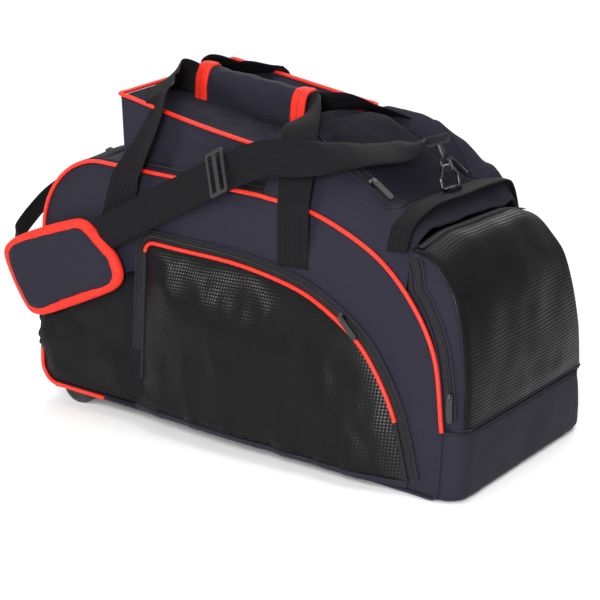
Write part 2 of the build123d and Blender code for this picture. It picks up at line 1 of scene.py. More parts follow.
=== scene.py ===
import bpy
import bmesh
import math
from mathutils import Matrix, Vector, noise


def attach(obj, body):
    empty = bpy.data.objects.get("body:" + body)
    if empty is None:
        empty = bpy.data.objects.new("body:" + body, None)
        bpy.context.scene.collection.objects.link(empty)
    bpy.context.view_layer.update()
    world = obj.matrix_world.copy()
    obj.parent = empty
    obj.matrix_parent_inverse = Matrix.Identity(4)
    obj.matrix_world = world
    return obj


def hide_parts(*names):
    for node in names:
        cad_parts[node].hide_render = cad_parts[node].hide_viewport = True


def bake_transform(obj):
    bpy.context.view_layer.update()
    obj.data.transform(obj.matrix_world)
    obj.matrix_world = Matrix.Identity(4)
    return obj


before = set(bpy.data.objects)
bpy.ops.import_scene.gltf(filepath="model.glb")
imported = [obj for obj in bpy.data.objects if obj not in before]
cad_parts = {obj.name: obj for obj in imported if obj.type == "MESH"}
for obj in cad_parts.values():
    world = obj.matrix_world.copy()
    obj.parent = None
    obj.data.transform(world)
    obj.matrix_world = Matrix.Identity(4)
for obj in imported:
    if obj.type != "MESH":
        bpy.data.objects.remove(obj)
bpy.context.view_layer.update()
print("frame loaded", len(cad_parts), "pieces")
sides = {"front": -1, "rear": 1}


camera = {"azimuth": 35.56, "elevation": 15.9, "roll": 0.34, "distance": 2.199, "target": (0.033, -0.019,
        0.176), "lens": 92.7}


def setCamera():
    a, e, r = (math.radians(camera[k]) for k in ("azimuth", "elevation", "roll"))
    back = Vector((math.sin(a) * math.cos(e), -math.cos(a) * math.cos(e), math.sin(e)))
    right = Vector((math.cos(a), math.sin(a), 0))
    up = back.cross(right)
    turnX = right * math.cos(r) - up * math.sin(r)
    turnY = right * math.sin(r) + up * math.cos(r)
    data = bpy.data.cameras.new("bagCamera")
    data.lens = camera["lens"]
    data.sensor_width = 36
    shot = bpy.data.objects.new("bagCamera", data)
    bpy.context.scene.collection.objects.link(shot)
    place = Matrix((turnX, turnY, back)).transposed().to_4x4()
    place.translation = Vector(camera["target"]) + back * camera["distance"]
    shot.matrix_world = place
    bpy.context.scene.camera = shot


def areaLight(name, place, aim, size, power, color=(1, 1, 1)):
    data = bpy.data.lights.new(name, "AREA")
    data.shape = "RECTANGLE"
    data.size, data.size_y = size
    data.energy = power
    data.color = color
    lamp = bpy.data.objects.new(name, data)
    lamp.location = place
    lamp.rotation_euler = (Vector(aim) - Vector(place)).to_track_quat("-Z", "Y").to_euler()
    bpy.context.scene.collection.objects.link(lamp)


def setStudio():
    world = bpy.data.worlds.new("studio")
    world.use_nodes = True
    back = world.node_tree.nodes["Background"]
    back.inputs["Color"].default_value = (1, 1, 1, 1)
    back.inputs["Strength"].default_value = 0.34
    bpy.context.scene.world = world
    bpy.context.scene.view_settings.view_transform = "Standard"
    areaLight("keyLight", (-1.8, -2.4, 1.7), (0, 0, 0.2), (1.0, 0.6), 44)
    areaLight("frontLight", (1.15, -2.3, 1.05), (0.15, 0, 0.2), (0.6, 1.6), 92)
    areaLight("floorLight", (-4.0, 7.0, 3.5), (-4.0, 7.0, 0), (9.0, 5.0), 420)
    areaLight("fillLight", (2.9, 0.5, 1.3), (0.2, 0, 0.2), (0.5, 1.2), 4)
    areaLight("topLight", (0.1, 1.2, 3.4), (0, 0.4, 0), (4.0, 4.0), 120)
    mesh = bpy.data.meshes.new("floor")
    mesh.from_pydata([(-9, -9, 0), (9, -9, 0), (9, 9, 0), (-9, 9, 0)], [], [(0, 1, 2, 3)])
    floor = bpy.data.objects.new("floor", mesh)
    bpy.context.scene.collection.objects.link(floor)
    paint = bpy.data.materials.new("paleFloor")
    paint.use_nodes = True
    shader = paint.node_tree.nodes["Principled BSDF"]
    shader.inputs["Base Color"].default_value = (0.9, 0.9, 0.9, 1)
    shader.inputs["Roughness"].default_value = 0.9
    mesh.materials.append(paint)


setCamera()
setStudio()
print("camera and studio set")


def newGroup(name, inputs, outputs):
    group = bpy.data.node_groups.new(name, "ShaderNodeTree")
    for label, kind, value in inputs:
        socket = group.interface.new_socket(label, in_out="INPUT", socket_type=kind)
        if value is not None:
            socket.default_value = value
    for label in outputs:
        group.interface.new_socket(label, in_out="OUTPUT", socket_type="NodeSocketFloat")
    return group, group.nodes.new("NodeGroupInput"), group.nodes.new("NodeGroupOutput")


def feed(tree, value, socket):
    if isinstance(value, bpy.types.NodeSocket):
        tree.links.new(value, socket)
    elif value is not None:
        socket.default_value = value


def calc(tree, operation, a, b=None, c=None, clamp=False):
    node = tree.nodes.new("ShaderNodeMath")
    node.operation = operation
    node.use_clamp = clamp
    for i, value in enumerate((a, b, c)):
        feed(tree, value, node.inputs[i])
    return node.outputs[0]


def noiseAt(tree, vector, scale, detail=2.0):
    node = tree.nodes.new("ShaderNodeTexNoise")
    feed(tree, vector, node.inputs["Vector"])
    feed(tree, scale, node.inputs["Scale"])
    node.inputs["Detail"].default_value = detail
    return node.outputs["Fac"]


def splitAxes(tree, vector):
    node = tree.nodes.new("ShaderNodeSeparateXYZ")
    tree.links.new(vector, node.inputs[0])
    return node.outputs


vectorIn = ("Vector", "NodeSocketVector", None)


def buildWeave():
    group, start, end = newGroup("clothWeave", [vectorIn, ("Threads", "NodeSocketFloat", 1800.0)],
                                 ["Height", "Shade"])
    axes = splitAxes(group, start.outputs["Vector"])
    warp = calc(group, "SINE", calc(group, "MULTIPLY", axes[0], calc(group, "MULTIPLY",
            start.outputs["Threads"], math.pi)))
    weft = calc(group, "SINE", calc(group, "MULTIPLY", axes[1], calc(group, "MULTIPLY",
            start.outputs["Threads"], math.pi)))
    cross = calc(group, "MULTIPLY", warp, weft)
    slub = noiseAt(group, start.outputs["Vector"], 420.0, 3.0)
    height = calc(group, "MULTIPLY_ADD", cross, 0.5, slub)
    group.links.new(height, end.inputs["Height"])
    group.links.new(calc(group, "MULTIPLY_ADD", cross, 0.25, slub, clamp=True), end.inputs["Shade"])
    return group


def buildCarbon():
    group, start, end = newGroup("carbonEmboss", [vectorIn, ("Pitch", "NodeSocketFloat", 0.004)],
                                 ["Height", "Shade"])
    axes = splitAxes(group, start.outputs["Vector"])
    across = calc(group, "DIVIDE", axes[0], start.outputs["Pitch"])
    along = calc(group, "DIVIDE", axes[1], start.outputs["Pitch"])
    humpX = calc(group, "ABSOLUTE", calc(group, "SINE", calc(group, "MULTIPLY", across, math.pi)))
    humpY = calc(group, "ABSOLUTE", calc(group, "SINE", calc(group, "MULTIPLY", along, math.pi)))
    pillow = calc(group, "MULTIPLY", calc(group, "POWER", humpX, 0.7), calc(group, "POWER", humpY, 0.7))
    cell = calc(group, "ADD", calc(group, "FLOOR", across), calc(group, "FLOOR", along))
    odd = calc(group, "PINGPONG", cell, 1.0)
    height = calc(group, "MULTIPLY_ADD", odd, 0.25, pillow)
    group.links.new(height, end.inputs["Height"])
    # Shade picks out the raised squares for a lighter colour: painted highlight on the squares, painted
    # shade in the grooves between them
    top = calc(group, "MULTIPLY_ADD", pillow, 3.0, -1.35, clamp=True)
    group.links.new(top, end.inputs["Shade"])
    return group


def buildWebbing():
    group, start, end = newGroup("webbingRibs", [vectorIn, ("Pitch", "NodeSocketFloat", 0.0022)],
                                 ["Height", "Shade"])
    axes = splitAxes(group, start.outputs["Vector"])
    chevron = calc(group, "PINGPONG", calc(group, "DIVIDE", axes[0], start.outputs["Pitch"]), 1.6)
    rows = calc(group, "ADD", calc(group, "DIVIDE", axes[1], start.outputs["Pitch"]), chevron)
    rib = calc(group, "ABSOLUTE", calc(group, "SINE", calc(group, "MULTIPLY", rows, math.pi)))
    cords = calc(group, "ABSOLUTE", calc(group, "SINE", calc(group, "MULTIPLY", axes[0], 900.0)))
    height = calc(group, "MULTIPLY_ADD", cords, 0.5, rib)
    group.links.new(height, end.inputs["Height"])
    group.links.new(calc(group, "MULTIPLY", height, 0.6, clamp=True), end.inputs["Shade"])
    return group


def buildGrain():
    group, start, end = newGroup("mouldedGrain", [vectorIn, ("Scale", "NodeSocketFloat", 700.0)],
                                 ["Height", "Shade"])
    fine = noiseAt(group, start.outputs["Vector"], start.outputs["Scale"], 3.0)
    pores = group.nodes.new("ShaderNodeTexVoronoi")
    group.links.new(start.outputs["Vector"], pores.inputs["Vector"])
    group.links.new(start.outputs["Scale"], pores.inputs["Scale"])
    group.links.new(calc(group, "MULTIPLY_ADD", pores.outputs["Distance"], 0.7, fine), end.inputs["Height"])
    group.links.new(fine, end.inputs["Shade"])
    return group


def buildWear():
    group, start, end = newGroup("handlingWear", [vectorIn, ("Scale", "NodeSocketFloat", 6.0)],
                                 ["Dust", "Rub"])
    broad = noiseAt(group, start.outputs["Vector"], start.outputs["Scale"], 5.0)
    fine = noiseAt(group, start.outputs["Vector"], calc(group, "MULTIPLY", start.outputs["Scale"], 14.0),
                   4.0)
    axes = splitAxes(group, start.outputs["Vector"])
    low = calc(group, "SUBTRACT", 1.0, calc(group, "MULTIPLY", axes[2], 7.0), clamp=True)
    dust = calc(group, "MULTIPLY", calc(group, "MULTIPLY_ADD", low, 0.7, 0.25), fine, clamp=True)
    group.links.new(dust, end.inputs["Dust"])
    group.links.new(broad, end.inputs["Rub"])
    return group


patternGroups = {"weave": buildWeave(), "carbon": buildCarbon(), "webbing": buildWebbing(),
                 "grain": buildGrain()}
wearGroup = buildWear()

plainFinish = {"spread": 0.10, "sheen": 0.0, "dust": 0.01}
finishes = {
    "charcoalPolyester": {"color": (0.019, 0.0183, 0.0295), "shade": (0.0085, 0.0082, 0.0135),
                          "pattern": "weave", "size": 1500.0,
                          "rough": 0.72, "spread": 0.12, "bump": 0.35, "depth": 0.0004, "sheen": 0.02,
                          "gloss": 0.07, "dust": 0.015},
    # carbon vinyl: its lighter "shade" colour goes on the raised squares as painted highlight, and the
    # darker "color" stays in the grooves as painted shade
    "carbonVinyl": {"color": (0.002, 0.002, 0.0022), "shade": (0.005, 0.005, 0.0055), "pattern": "carbon",
                    "size": 0.0043,
                    "rough": 0.22, "bump": 0.30, "depth": 0.0004, "gloss": 0.11, "dust": 0.005,
                    "groove": 0.40},
    "redPiping": {"color": (0.80, 0.026, 0.010), "shade": (0.62, 0.016, 0.008), "pattern": "grain",
                  "size": 500.0,
                  "rough": 0.45, "bump": 0.15, "depth": 0.0003, "gloss": 0.3},
    "redBinding": {"color": (0.78, 0.024, 0.010), "shade": (0.56, 0.014, 0.008), "pattern": "weave",
                   "size": 1100.0,
                   "rough": 0.62, "bump": 0.4, "depth": 0.0004, "sheen": 0.02, "gloss": 0.2},
    "blackWebbing": {"color": (0.0065, 0.0065, 0.008), "shade": (0.0028, 0.0028, 0.0035),
                     "pattern": "webbing", "size": 0.0026,
                     "rough": 0.62, "spread": 0.12, "bump": 0.7, "depth": 0.0006, "sheen": 0.01,
                     "gloss": 0.08},
    "zipTape": {"color": (0.007, 0.007, 0.009), "shade": (0.004, 0.004, 0.005), "pattern": "webbing",
                "size": 0.0012,
                "rough": 0.66, "bump": 0.5, "depth": 0.0003, "sheen": 0.02, "gloss": 0.18},
    "coilTeeth": {"color": (0.010, 0.010, 0.011), "shade": (0.008, 0.008, 0.009), "pattern": "grain",
                  "size": 900.0,
                  "rough": 0.33, "bump": 0.1, "depth": 0.0002, "gloss": 0.4},
    "mouldedBlack": {"color": (0.009, 0.009, 0.010), "shade": (0.015, 0.015, 0.016), "pattern": "grain",
                     "size": 650.0,
                     "rough": 0.40, "spread": 0.16, "bump": 0.3, "depth": 0.0003, "gloss": 0.4,
                     "dust": 0.03},
    "tyreTread": {"color": (0.012, 0.012, 0.012), "shade": (0.020, 0.020, 0.019), "pattern": "grain",
                  "size": 420.0,
                  "rough": 0.72, "spread": 0.12, "bump": 0.4, "depth": 0.0004, "gloss": 0.25, "dust": 0.12},
    "gunmetal": {"color": (0.10, 0.10, 0.11), "shade": (0.06, 0.06, 0.065), "pattern": "grain",
                 "size": 900.0,
                 "rough": 0.30, "spread": 0.18, "bump": 0.12, "depth": 0.0002, "gloss": 0.5, "metal": 1.0},
    "blackStitch": {"color": (0.022, 0.022, 0.028), "shade": (0.012, 0.012, 0.015), "pattern": "grain",
                    "size": 1500.0,
                    "rough": 0.6, "bump": 0.2, "depth": 0.0002, "sheen": 0.02, "gloss": 0.2},
}


def makeFinish(name, spec):
    paint = bpy.data.materials.new(name)
    paint.use_nodes = True
    tree = paint.node_tree
    shader = tree.nodes["Principled BSDF"]
    place = tree.nodes.new("ShaderNodeTexCoord").outputs["Object"]
    cloth = place
    if spec["pattern"] != "grain":
        along = tree.nodes.new("ShaderNodeAttribute")
        along.attribute_name = "clothRun"
        cloth = along.outputs["Vector"]
    pattern = tree.nodes.new("ShaderNodeGroup")
    pattern.node_tree = patternGroups[spec["pattern"]]
    tree.links.new(cloth, pattern.inputs["Vector"])
    pattern.inputs[1].default_value = spec["size"]
    wear = tree.nodes.new("ShaderNodeGroup")
    wear.node_tree = wearGroup
    tree.links.new(place, wear.inputs["Vector"])
    # mixes each finish's colour towards its second colour by the pattern's Shade; for carbon vinyl this
    # paints highlight on the raised squares and shade in the grooves
    mixA = tree.nodes.new("ShaderNodeMix")
    mixA.data_type = "RGBA"
    tree.links.new(pattern.outputs["Shade"], mixA.inputs["Factor"])
    mixA.inputs["A"].default_value = (*spec["color"], 1)
    mixA.inputs["B"].default_value = (*spec["shade"], 1)
    mixB = tree.nodes.new("ShaderNodeMix")
    mixB.data_type = "RGBA"
    tree.links.new(calc(tree, "MULTIPLY", wear.outputs["Dust"], spec["dust"]), mixB.inputs["Factor"])
    tree.links.new(mixA.outputs["Result"], mixB.inputs["A"])
    mixB.inputs["B"].default_value = (0.30, 0.28, 0.25, 1)
    tree.links.new(mixB.outputs["Result"], shader.inputs["Base Color"])
    rough = calc(tree, "MULTIPLY_ADD", calc(tree, "SUBTRACT", wear.outputs["Rub"], 0.5), spec["spread"] * 2,
                 spec["rough"])
    if "groove" in spec:  # only the raised squares are polished
        matt = calc(tree, "SUBTRACT", 1.0, pattern.outputs["Shade"], clamp=True)
        rough = calc(tree, "MULTIPLY_ADD", matt, spec["groove"], rough)
    tree.links.new(rough, shader.inputs["Roughness"])
    bump = tree.nodes.new("ShaderNodeBump")
    bump.inputs["Strength"].default_value = spec["bump"]
    bump.inputs["Distance"].default_value = spec["depth"]
    tree.links.new(pattern.outputs["Height"], bump.inputs["Height"])
    tree.links.new(bump.outputs["Normal"], shader.inputs["Normal"])
    shader.inputs["Sheen Weight"].default_value = spec["sheen"]
    shader.inputs["Sheen Roughness"].default_value = 0.45
    shader.inputs["Specular IOR Level"].default_value = spec["gloss"]
    shader.inputs["Metallic"].default_value = spec.get("metal", 0.0)
    return paint


paints = {name: makeFinish(name, {**plainFinish, **spec}) for name, spec in finishes.items()}
print("finishes made", len(paints))


def clamp01(t):
    return max(0.0, min(1.0, t))


def ease(t):
    t = clamp01(t)
    return t * t * (3 - 2 * t)


def smoothLine(points, count, closed=False):  # evenly spaced places on a rounded line
    pts = [Vector(p) for p in points]
    n = len(pts)
    lengths = [0.0]
    spans = n if closed else n - 1
    for i in range(spans):
        lengths.append(lengths[-1] + (pts[(i + 1) % n] - pts[i]).length)
    made = []
    total = count if closed else count - 1
    for k in range(count):
        s = lengths[-1] * k / total
        i = min(max(j for j in range(spans) if lengths[j] <= s + 1e-9), spans - 1)
        t = (s - lengths[i]) / max(lengths[i + 1] - lengths[i], 1e-9)
        a, b = pts[i], pts[(i + 1) % n]
        before = pts[(i - 1) % n] if closed or i > 0 else a * 2 - b
        after = pts[(i + 2) % n] if closed or i + 2 < n else b * 2 - a
        m0, m1 = (b - before) * 0.5, (after - a) * 0.5
        limit = (b - a).length
        m0 = m0 * min(1, limit / max(m0.length, 1e-6))
        m1 = m1 * min(1, limit / max(m1.length, 1e-6))
        t2, t3 = t * t, t * t * t
        made.append(a * (2 * t3 - 3 * t2 + 1) + m0 * (t3 - 2 * t2 + t) + b * (-2 * t3 + 3 * t2) + m1
                    * (t3 - t2))
    return made


def piece(name, verts, faces, body, paintNames, nodes=(), runs=None, faceSlots=None, smooth=True):
    mesh = bpy.data.meshes.new(name)
    mesh.from_pydata([tuple(Vector(v) * 0.001) for v in verts], [], faces)
    if runs:
        layer = mesh.attributes.new("clothRun", "FLOAT_VECTOR", "POINT")
        layer.data.foreach_set("vector", [c * 0.001 for r in runs for c in (r[0], r[1], 0.0)])
    for paintName in paintNames:
        mesh.materials.append(paints[paintName])
    if faceSlots:
        mesh.polygons.foreach_set("material_index", faceSlots)
    mesh.polygons.foreach_set("use_smooth", [smooth] * len(mesh.polygons))
    made = bpy.data.objects.new(name, mesh)
    bpy.context.scene.collection.objects.link(made)
    if body:
        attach(made, body)
    if nodes:
        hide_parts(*nodes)
    return made


def applied(made, *modifiers):  # puts modifiers into the mesh for good
    for kind, values in modifiers:
        mod = made.modifiers.new(kind, kind)
        for key, value in values.items():
            setattr(mod, key, value)
    bpy.context.view_layer.update()
    graph = bpy.context.evaluated_depsgraph_get()
    mesh = bpy.data.meshes.new_from_object(made.evaluated_get(graph), preserve_all_data_layers=True,
                                           depsgraph=graph)
    made.modifiers.clear()
    made.data = mesh
    return made


def boxRuns(made):  # each face takes its pattern from its flattest plane
    mesh = made.data
    if "clothRun" in mesh.attributes:
        mesh.attributes.remove(mesh.attributes["clothRun"])
    layer = mesh.attributes.new("clothRun", "FLOAT_VECTOR", "CORNER")
    values = [0.0] * (3 * len(mesh.loops))
    pairs = ((1, 2), (0, 2), (0, 1))
    for face in mesh.polygons:
        n = [abs(c) for c in face.normal]
        a, b = pairs[n.index(max(n))]
        for li in face.loop_indices:
            co = mesh.vertices[mesh.loops[li].vertex_index].co
            values[3 * li] = co[a]
            values[3 * li + 1] = co[b]
    layer.data.foreach_set("vector", values)


def repaint(node, paintName):
    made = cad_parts[node]
    made.data.materials.clear()
    made.data.materials.append(paints[paintName])
    if finishes[paintName]["pattern"] != "grain":  # woven patterns need flat directions
        boxRuns(made)


def gridFaces(rows, columns, wrap=False):
    made = []
    for i in range(rows - 1):
        for j in range(columns if wrap else columns - 1):
            k = (j + 1) % columns
            made.append((i * columns + j, i * columns + k, (i + 1) * columns + k, (i + 1) * columns + j))
    return made


def clothGrid(name, grid, body, paintNames, nodes=(), thick=3.0, faceSlots=None, flip=False,
              runs=None):
    rows, columns = len(grid), len(grid[0])
    verts = [p for row in grid for p in row]
    faces = gridFaces(rows, columns)
    if flip:
        faces = [tuple(reversed(f)) for f in faces]
    made = piece(name, verts, faces, body, paintNames, nodes, runs, faceSlots)
    if thick:
        applied(made, ("SOLIDIFY", {"thickness": thick * 0.001, "offset": -1.0, "use_even_offset": False}))
    if not runs:
        boxRuns(made)
    return made


def creases(x, y, z, scale, height):
    return height * noise.fractal(Vector((x, y, z)) / scale, 1.0, 2.0, 3)


def ribbon(name, stations, width, thick, body, paintName="blackWebbing", nodes=(), step=6.0,
           crown=0.0):
    rough = sum((Vector(b[0]) - Vector(a[0])).length for a, b in zip(stations, stations[1:]))
    count = max(3, int(rough / step))
    places = smoothLine([s[0] for s in stations], count)
    joined = [Vector(s[0]) for s in stations]
    spans = [0.0]
    for a, b in zip(joined, joined[1:]):
        spans.append(spans[-1] + (b - a).length)
    acrosses = []
    for k in range(count):
        s = spans[-1] * k / (count - 1)
        i = max(j for j in range(len(spans) - 1) if spans[j] <= s + 1e-9)
        t = ease((s - spans[i]) / (spans[i + 1] - spans[i]))
        acrosses.append(Vector(stations[i][1]).normalized().lerp(Vector(stations[i + 1][1]).normalized(),
                t).normalized())
    section = []
    half = width / 2
    for f in (-1, -0.96, -0.6, 0, 0.6, 0.96, 1):
        section.append((f * half, 0.5 * thick * (1.0 if abs(f) < 0.99 else 0.45)))
    section = section + [(a, -b) for a, b in reversed(section)]
    verts, runs, run = [], [], 0.0
    for k in range(count):
        along = (places[min(k + 1, count - 1)] - places[max(k - 1, 0)]).normalized()
        across = (acrosses[k] - along * acrosses[k].dot(along)).normalized()
        out = across.cross(along)
        if k:
            run += (places[k] - places[k - 1]).length
        bow = crown + creases(run, width, half, 60.0, 0.7)
        for a, b in section:
            arch = bow * (1 - (a / half) ** 2)
            verts.append(places[k] + across * a + out * (b + arch))
            runs.append((a, run))
    n = len(section)
    faces = gridFaces(count, n, wrap=True)
    faces.append(tuple(reversed(range(n))))
    faces.append(tuple((count - 1) * n + j for j in range(n)))
    return piece(name, verts, faces, body, [paintName], nodes, runs)


def welt(name, points, radius, body, paintName="redPiping", nodes=(), closed=False):
    data = bpy.data.curves.new(name, "CURVE")
    data.dimensions = "3D"
    data.bevel_depth = radius * 0.001
    data.bevel_resolution = 3
    data.use_fill_caps = True
    line = data.splines.new("POLY")
    line.points.add(len(points) - 1)
    for spot, p in zip(line.points, points):
        spot.co = (*(Vector(p) * 0.001), 1)
    line.use_cyclic_u = closed
    tube = bpy.data.objects.new(name, data)
    bpy.context.scene.collection.objects.link(tube)
    bpy.context.view_layer.update()
    mesh = bpy.data.meshes.new_from_object(tube)
    bpy.data.objects.remove(tube)
    made = bpy.data.objects.new(name, mesh)
    mesh.materials.clear()
    mesh.materials.append(paints[paintName])
    mesh.polygons.foreach_set("use_smooth", [True] * len(mesh.polygons))
    bpy.context.scene.collection.objects.link(made)
    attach(made, body)
    if nodes:
        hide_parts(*nodes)
    return made


def lozenges(name, spots, size, body, paintName):
    verts, faces = [], []
    a, b, c = (s / 2 for s in size)
    for place, along, out in spots:
        along = Vector(along).normalized()
        out = Vector(out)
        out = (out - along * out.dot(along)).normalized()
        across = out.cross(along)
        base = len(verts)
        for i, f in ((-1, 0.35), (-0.5, 1.0), (0.5, 1.0), (1, 0.35)):
            for u, v in ((-1, 0), (-0.5, 1), (0.5, 1), (1, 0)):
                verts.append(Vector(place) + along * (a * i) + across * (b * u * f) + out
                             * (c * (2 * v * f)))
        for i in range(3):
            for j in range(3):
                k = base + i * 4 + j
                faces.append((k, k + 1, k + 5, k + 4))
    return piece(name, verts, faces, body, [paintName])


def stitchRow(points, outs, pitch=4.2):  # even spots for stitches along a line
    spots, left = [], pitch / 2
    for i in range(len(points) - 1):
        a, b = Vector(points[i]), Vector(points[i + 1])
        span = (b - a).length
        while left < span:
            spots.append((a.lerp(b, left / span), b - a, outs[i]))
            left += pitch
        left -= span
    return spots


def darkCord(name, points, radius, owner="bag"):
    return welt(name, points, radius, owner, "charcoalPolyester")


def sewn(name, points, outs, pitch=4.8, size=(3.3, 0.8, 0.7), owner="bag"):
    return lozenges(name, stitchRow(points, outs, pitch), size, owner, "blackStitch")


def zipRun(name, points, outs, width, body, nodes=()):  # tape, coil and two rows of stitches
    stations = []
    for i, p in enumerate(points):
        along = (Vector(points[min(i + 1, len(points) - 1)]) - Vector(points[max(i - 1, 0)])).normalized()
        out = Vector(outs[i]).normalized()
        stations.append((Vector(p) + out * 0.5, along.cross(out)))
    verts, runs, run = [], [], 0.0
    section = [(-1, 0), (-0.97, 0.9), (-0.32, 1.1), (-0.28, 0.5), (0.28, 0.5), (0.32, 1.1), (0.97, 0.9),
               (1, 0)]
    for i, (p, across) in enumerate(stations):
        if i:
            run += (p - stations[i - 1][0]).length
        out = Vector(outs[i]).normalized()
        for a, b in section:
            verts.append(p + across * (a * width / 2) + out * b)
            runs.append((a * width / 2, run))
    faces = gridFaces(len(stations), len(section), wrap=True)
    faces = [tuple(reversed(f)) for f in faces]
    tape = piece(name, verts, faces, body, ["zipTape"], nodes, runs)
    teeth = []
    for p, along, out in stitchRow([s[0] for s in stations], outs, 2.1):
        across = Vector(along).normalized().cross(Vector(out).normalized())
        teeth.append((Vector(p) + Vector(out).normalized() * 0.5, across, out))
    coil = lozenges(name + "_coil", teeth, (3.4, 1.3, 1.3), body, "coilTeeth")
    seams = []
    for shift in (-0.38, 0.38):
        line = [s[0] + s[1] * (shift * width) + Vector(o).normalized() * 0.9 for s, o in zip(stations,
                outs)]
        seams += stitchRow(line, outs, 3.6)
    lozenges(name + "_stitches", seams, (2.4, 0.7, 0.6), body, "blackStitch")
    return tape, coil


body = {"halfWidth": 178.0, "lean": 0.087, "wheelEnd": -330.0, "cornerRadius": 105.0, "lowCorner": 34.0,
        "topHeight": 369.0, "deckRun": 285.0, "deckFall": 15.0, "rise": 0.039, "foot": 3.0,
        "pocketEnd": 388.0, "bootTop": 92.0, "archEnd": 357.0,
        "rearLift": 59.0, "wall": 3.5}


bendAt = (body["wheelEnd"] + body["cornerRadius"], body["topHeight"] - body["cornerRadius"])


def deckZ(x):
    return body["topHeight"] - body["deckFall"] * (x - bendAt[0]) / body["deckRun"]


def sideOut(side):
    return Vector((0, side, body["lean"]))


def baseZ(x):
    return body["foot"] + body["rise"] * (body["pocketEnd"] - x)


def sideY(z):
    return body["halfWidth"] - body["lean"] * z


def onSide(side, x, z, out=0.0):
    return Vector((x, side * (sideY(z) + out), z + body["lean"] * out))


def rearLift(x):
    return body["rearLift"] * ease((x + 60) / 150) * ease((330 - x) / 130)


def archLine():  # side seam from the wheel end over the top to the boot, as (x, z)
    radius, bendX, bendZ = body["cornerRadius"], bendAt[0], bendAt[1]
    made = [(body["wheelEnd"], bendZ - 20 * k) for k in (9.2, 8, 7, 6, 5, 4, 3, 2, 1)]
    for k in range(17):
        a = math.pi - math.pi / 2 * k / 16
        made.append((bendX + radius * math.cos(a), bendZ + radius * math.sin(a)))
    for k in range(1, 12):
        made.append((bendX + body["deckRun"] * k / 12, body["topHeight"] - body["deckFall"] * k / 12))
    bow = smoothLine([(60, 354, 0), (152, 340, 0), (246, 299, 0), (303, 247, 0), (340, 184, 0),
                      (body["archEnd"], body["bootTop"], 0)], 40)
    return made + [(p.x, p.y) for p in bow]


arch = archLine()


def lowZ(x):
    corner = body["wheelEnd"] + body["lowCorner"]
    if x < corner:
        r = body["lowCorner"]
        return baseZ(corner) + r - math.sqrt(max(r * r - (corner - x) ** 2, 0))
    return baseZ(x)


def cornerAt(a):  # low round corner at the wheel end
    r, x = body["lowCorner"], body["wheelEnd"] + body["lowCorner"]
    return x - r * math.sin(a), baseZ(x) + r - r * math.cos(a)


def edgeGap(x, z, line):  # distance from a place to a line of (x, z)
    best = 1e9
    for (ax, az), (bx, bz) in zip(line, line[1:]):
        dx, dz = bx - ax, bz - az
        t = clamp01(((x - ax) * dx + (z - az) * dz) / (dx * dx + dz * dz + 1e-9))
        best = min(best, math.hypot(x - ax - t * dx, z - az - t * dz))
    return best


def seamTop(x, z, side):
    return z + (rearLift(x) if side > 0 else 0.0)


def topLine(side):
    return [(x, seamTop(x, z, side)) for x, z in arch[8:]]


pocket = {"left": -133.0, "corner": 14.0, "depth": 31.0, "edge": 96.0, "bottom": 13.0, "rows": 26,
          "weltRadius": 2.9, "zipWidth": 12.5,
          "zipAway": 9.4, "borderAway": 17.2}


def pocketLine():
    left, bend = pocket["left"], pocket["corner"]
    made = [(left, 70 + 20 * k) for k in range(10)]
    made += [(left + bend - bend * math.cos(a), 252 + bend * math.sin(a)) for a in (0.25, 0.6, 0.95, 1.3,
            1.57)]
    low = baseZ(312) + pocket["bottom"]
    bow = smoothLine([(-85, 264, 0), (33, 257, 0), (130, 238, 0), (190, 210, 0), (238, 173, 0),
                      (283, 105, 0), (312, low, 0)], 62)
    return made + [(p.x, p.y) for p in bow]


pocketArch = pocketLine()


def pocketGap(x, z):  # how far outside the pocket seam, 0 inside
    left = pocketArch[0][0]
    inside = z < 266 and x > left and any(ax <= x <= bx and z <= max(az, bz) for (ax, az),
                                          (bx, bz) in zip(pocketArch[9:], pocketArch[10:]))
    return 0.0 if inside else edgeGap(x, z, pocketArch)


def sideSwell(x, z, side, edges):  # how far the cloth stands out, calm round the pocket
    d = edgeGap(x, z, edges)
    calm = ease((pocketGap(x, z) - 20) / 26)
    return -0.6 + (5.5 * ease(d / 45) + creases(x, side * 300, z, 85.0, 5.0) * ease(d / 30)) * calm


def scuffPanel(sideName, side, edges):  # thin vinyl beside the pocket
    grid, runs = [], []
    for i in range(31):
        x = -326 + 191 * i / 30
        low, top = lowZ(x) + 5, 138 + 88 * ease(i / 30)
        column = []
        for r in range(21):
            z = low + (top - low) * r / 20
            column.append(Vector((x, side * (sideY(z) + sideSwell(x, z, side, edges) + 1.4), z)))
            runs.append((x, z))
        grid.append(column)
    clothGrid(sideName + "_scuff_vinyl", grid, "bag", ["carbonVinyl"], (), 1.6,
              flip=side < 0, runs=runs)
    edge = [column[-1] + Vector((0, side * 0.3, 0)) for column in grid]
    darkCord(sideName + "_scuff_welt", edge, 1.3)


weltOut = 1.2


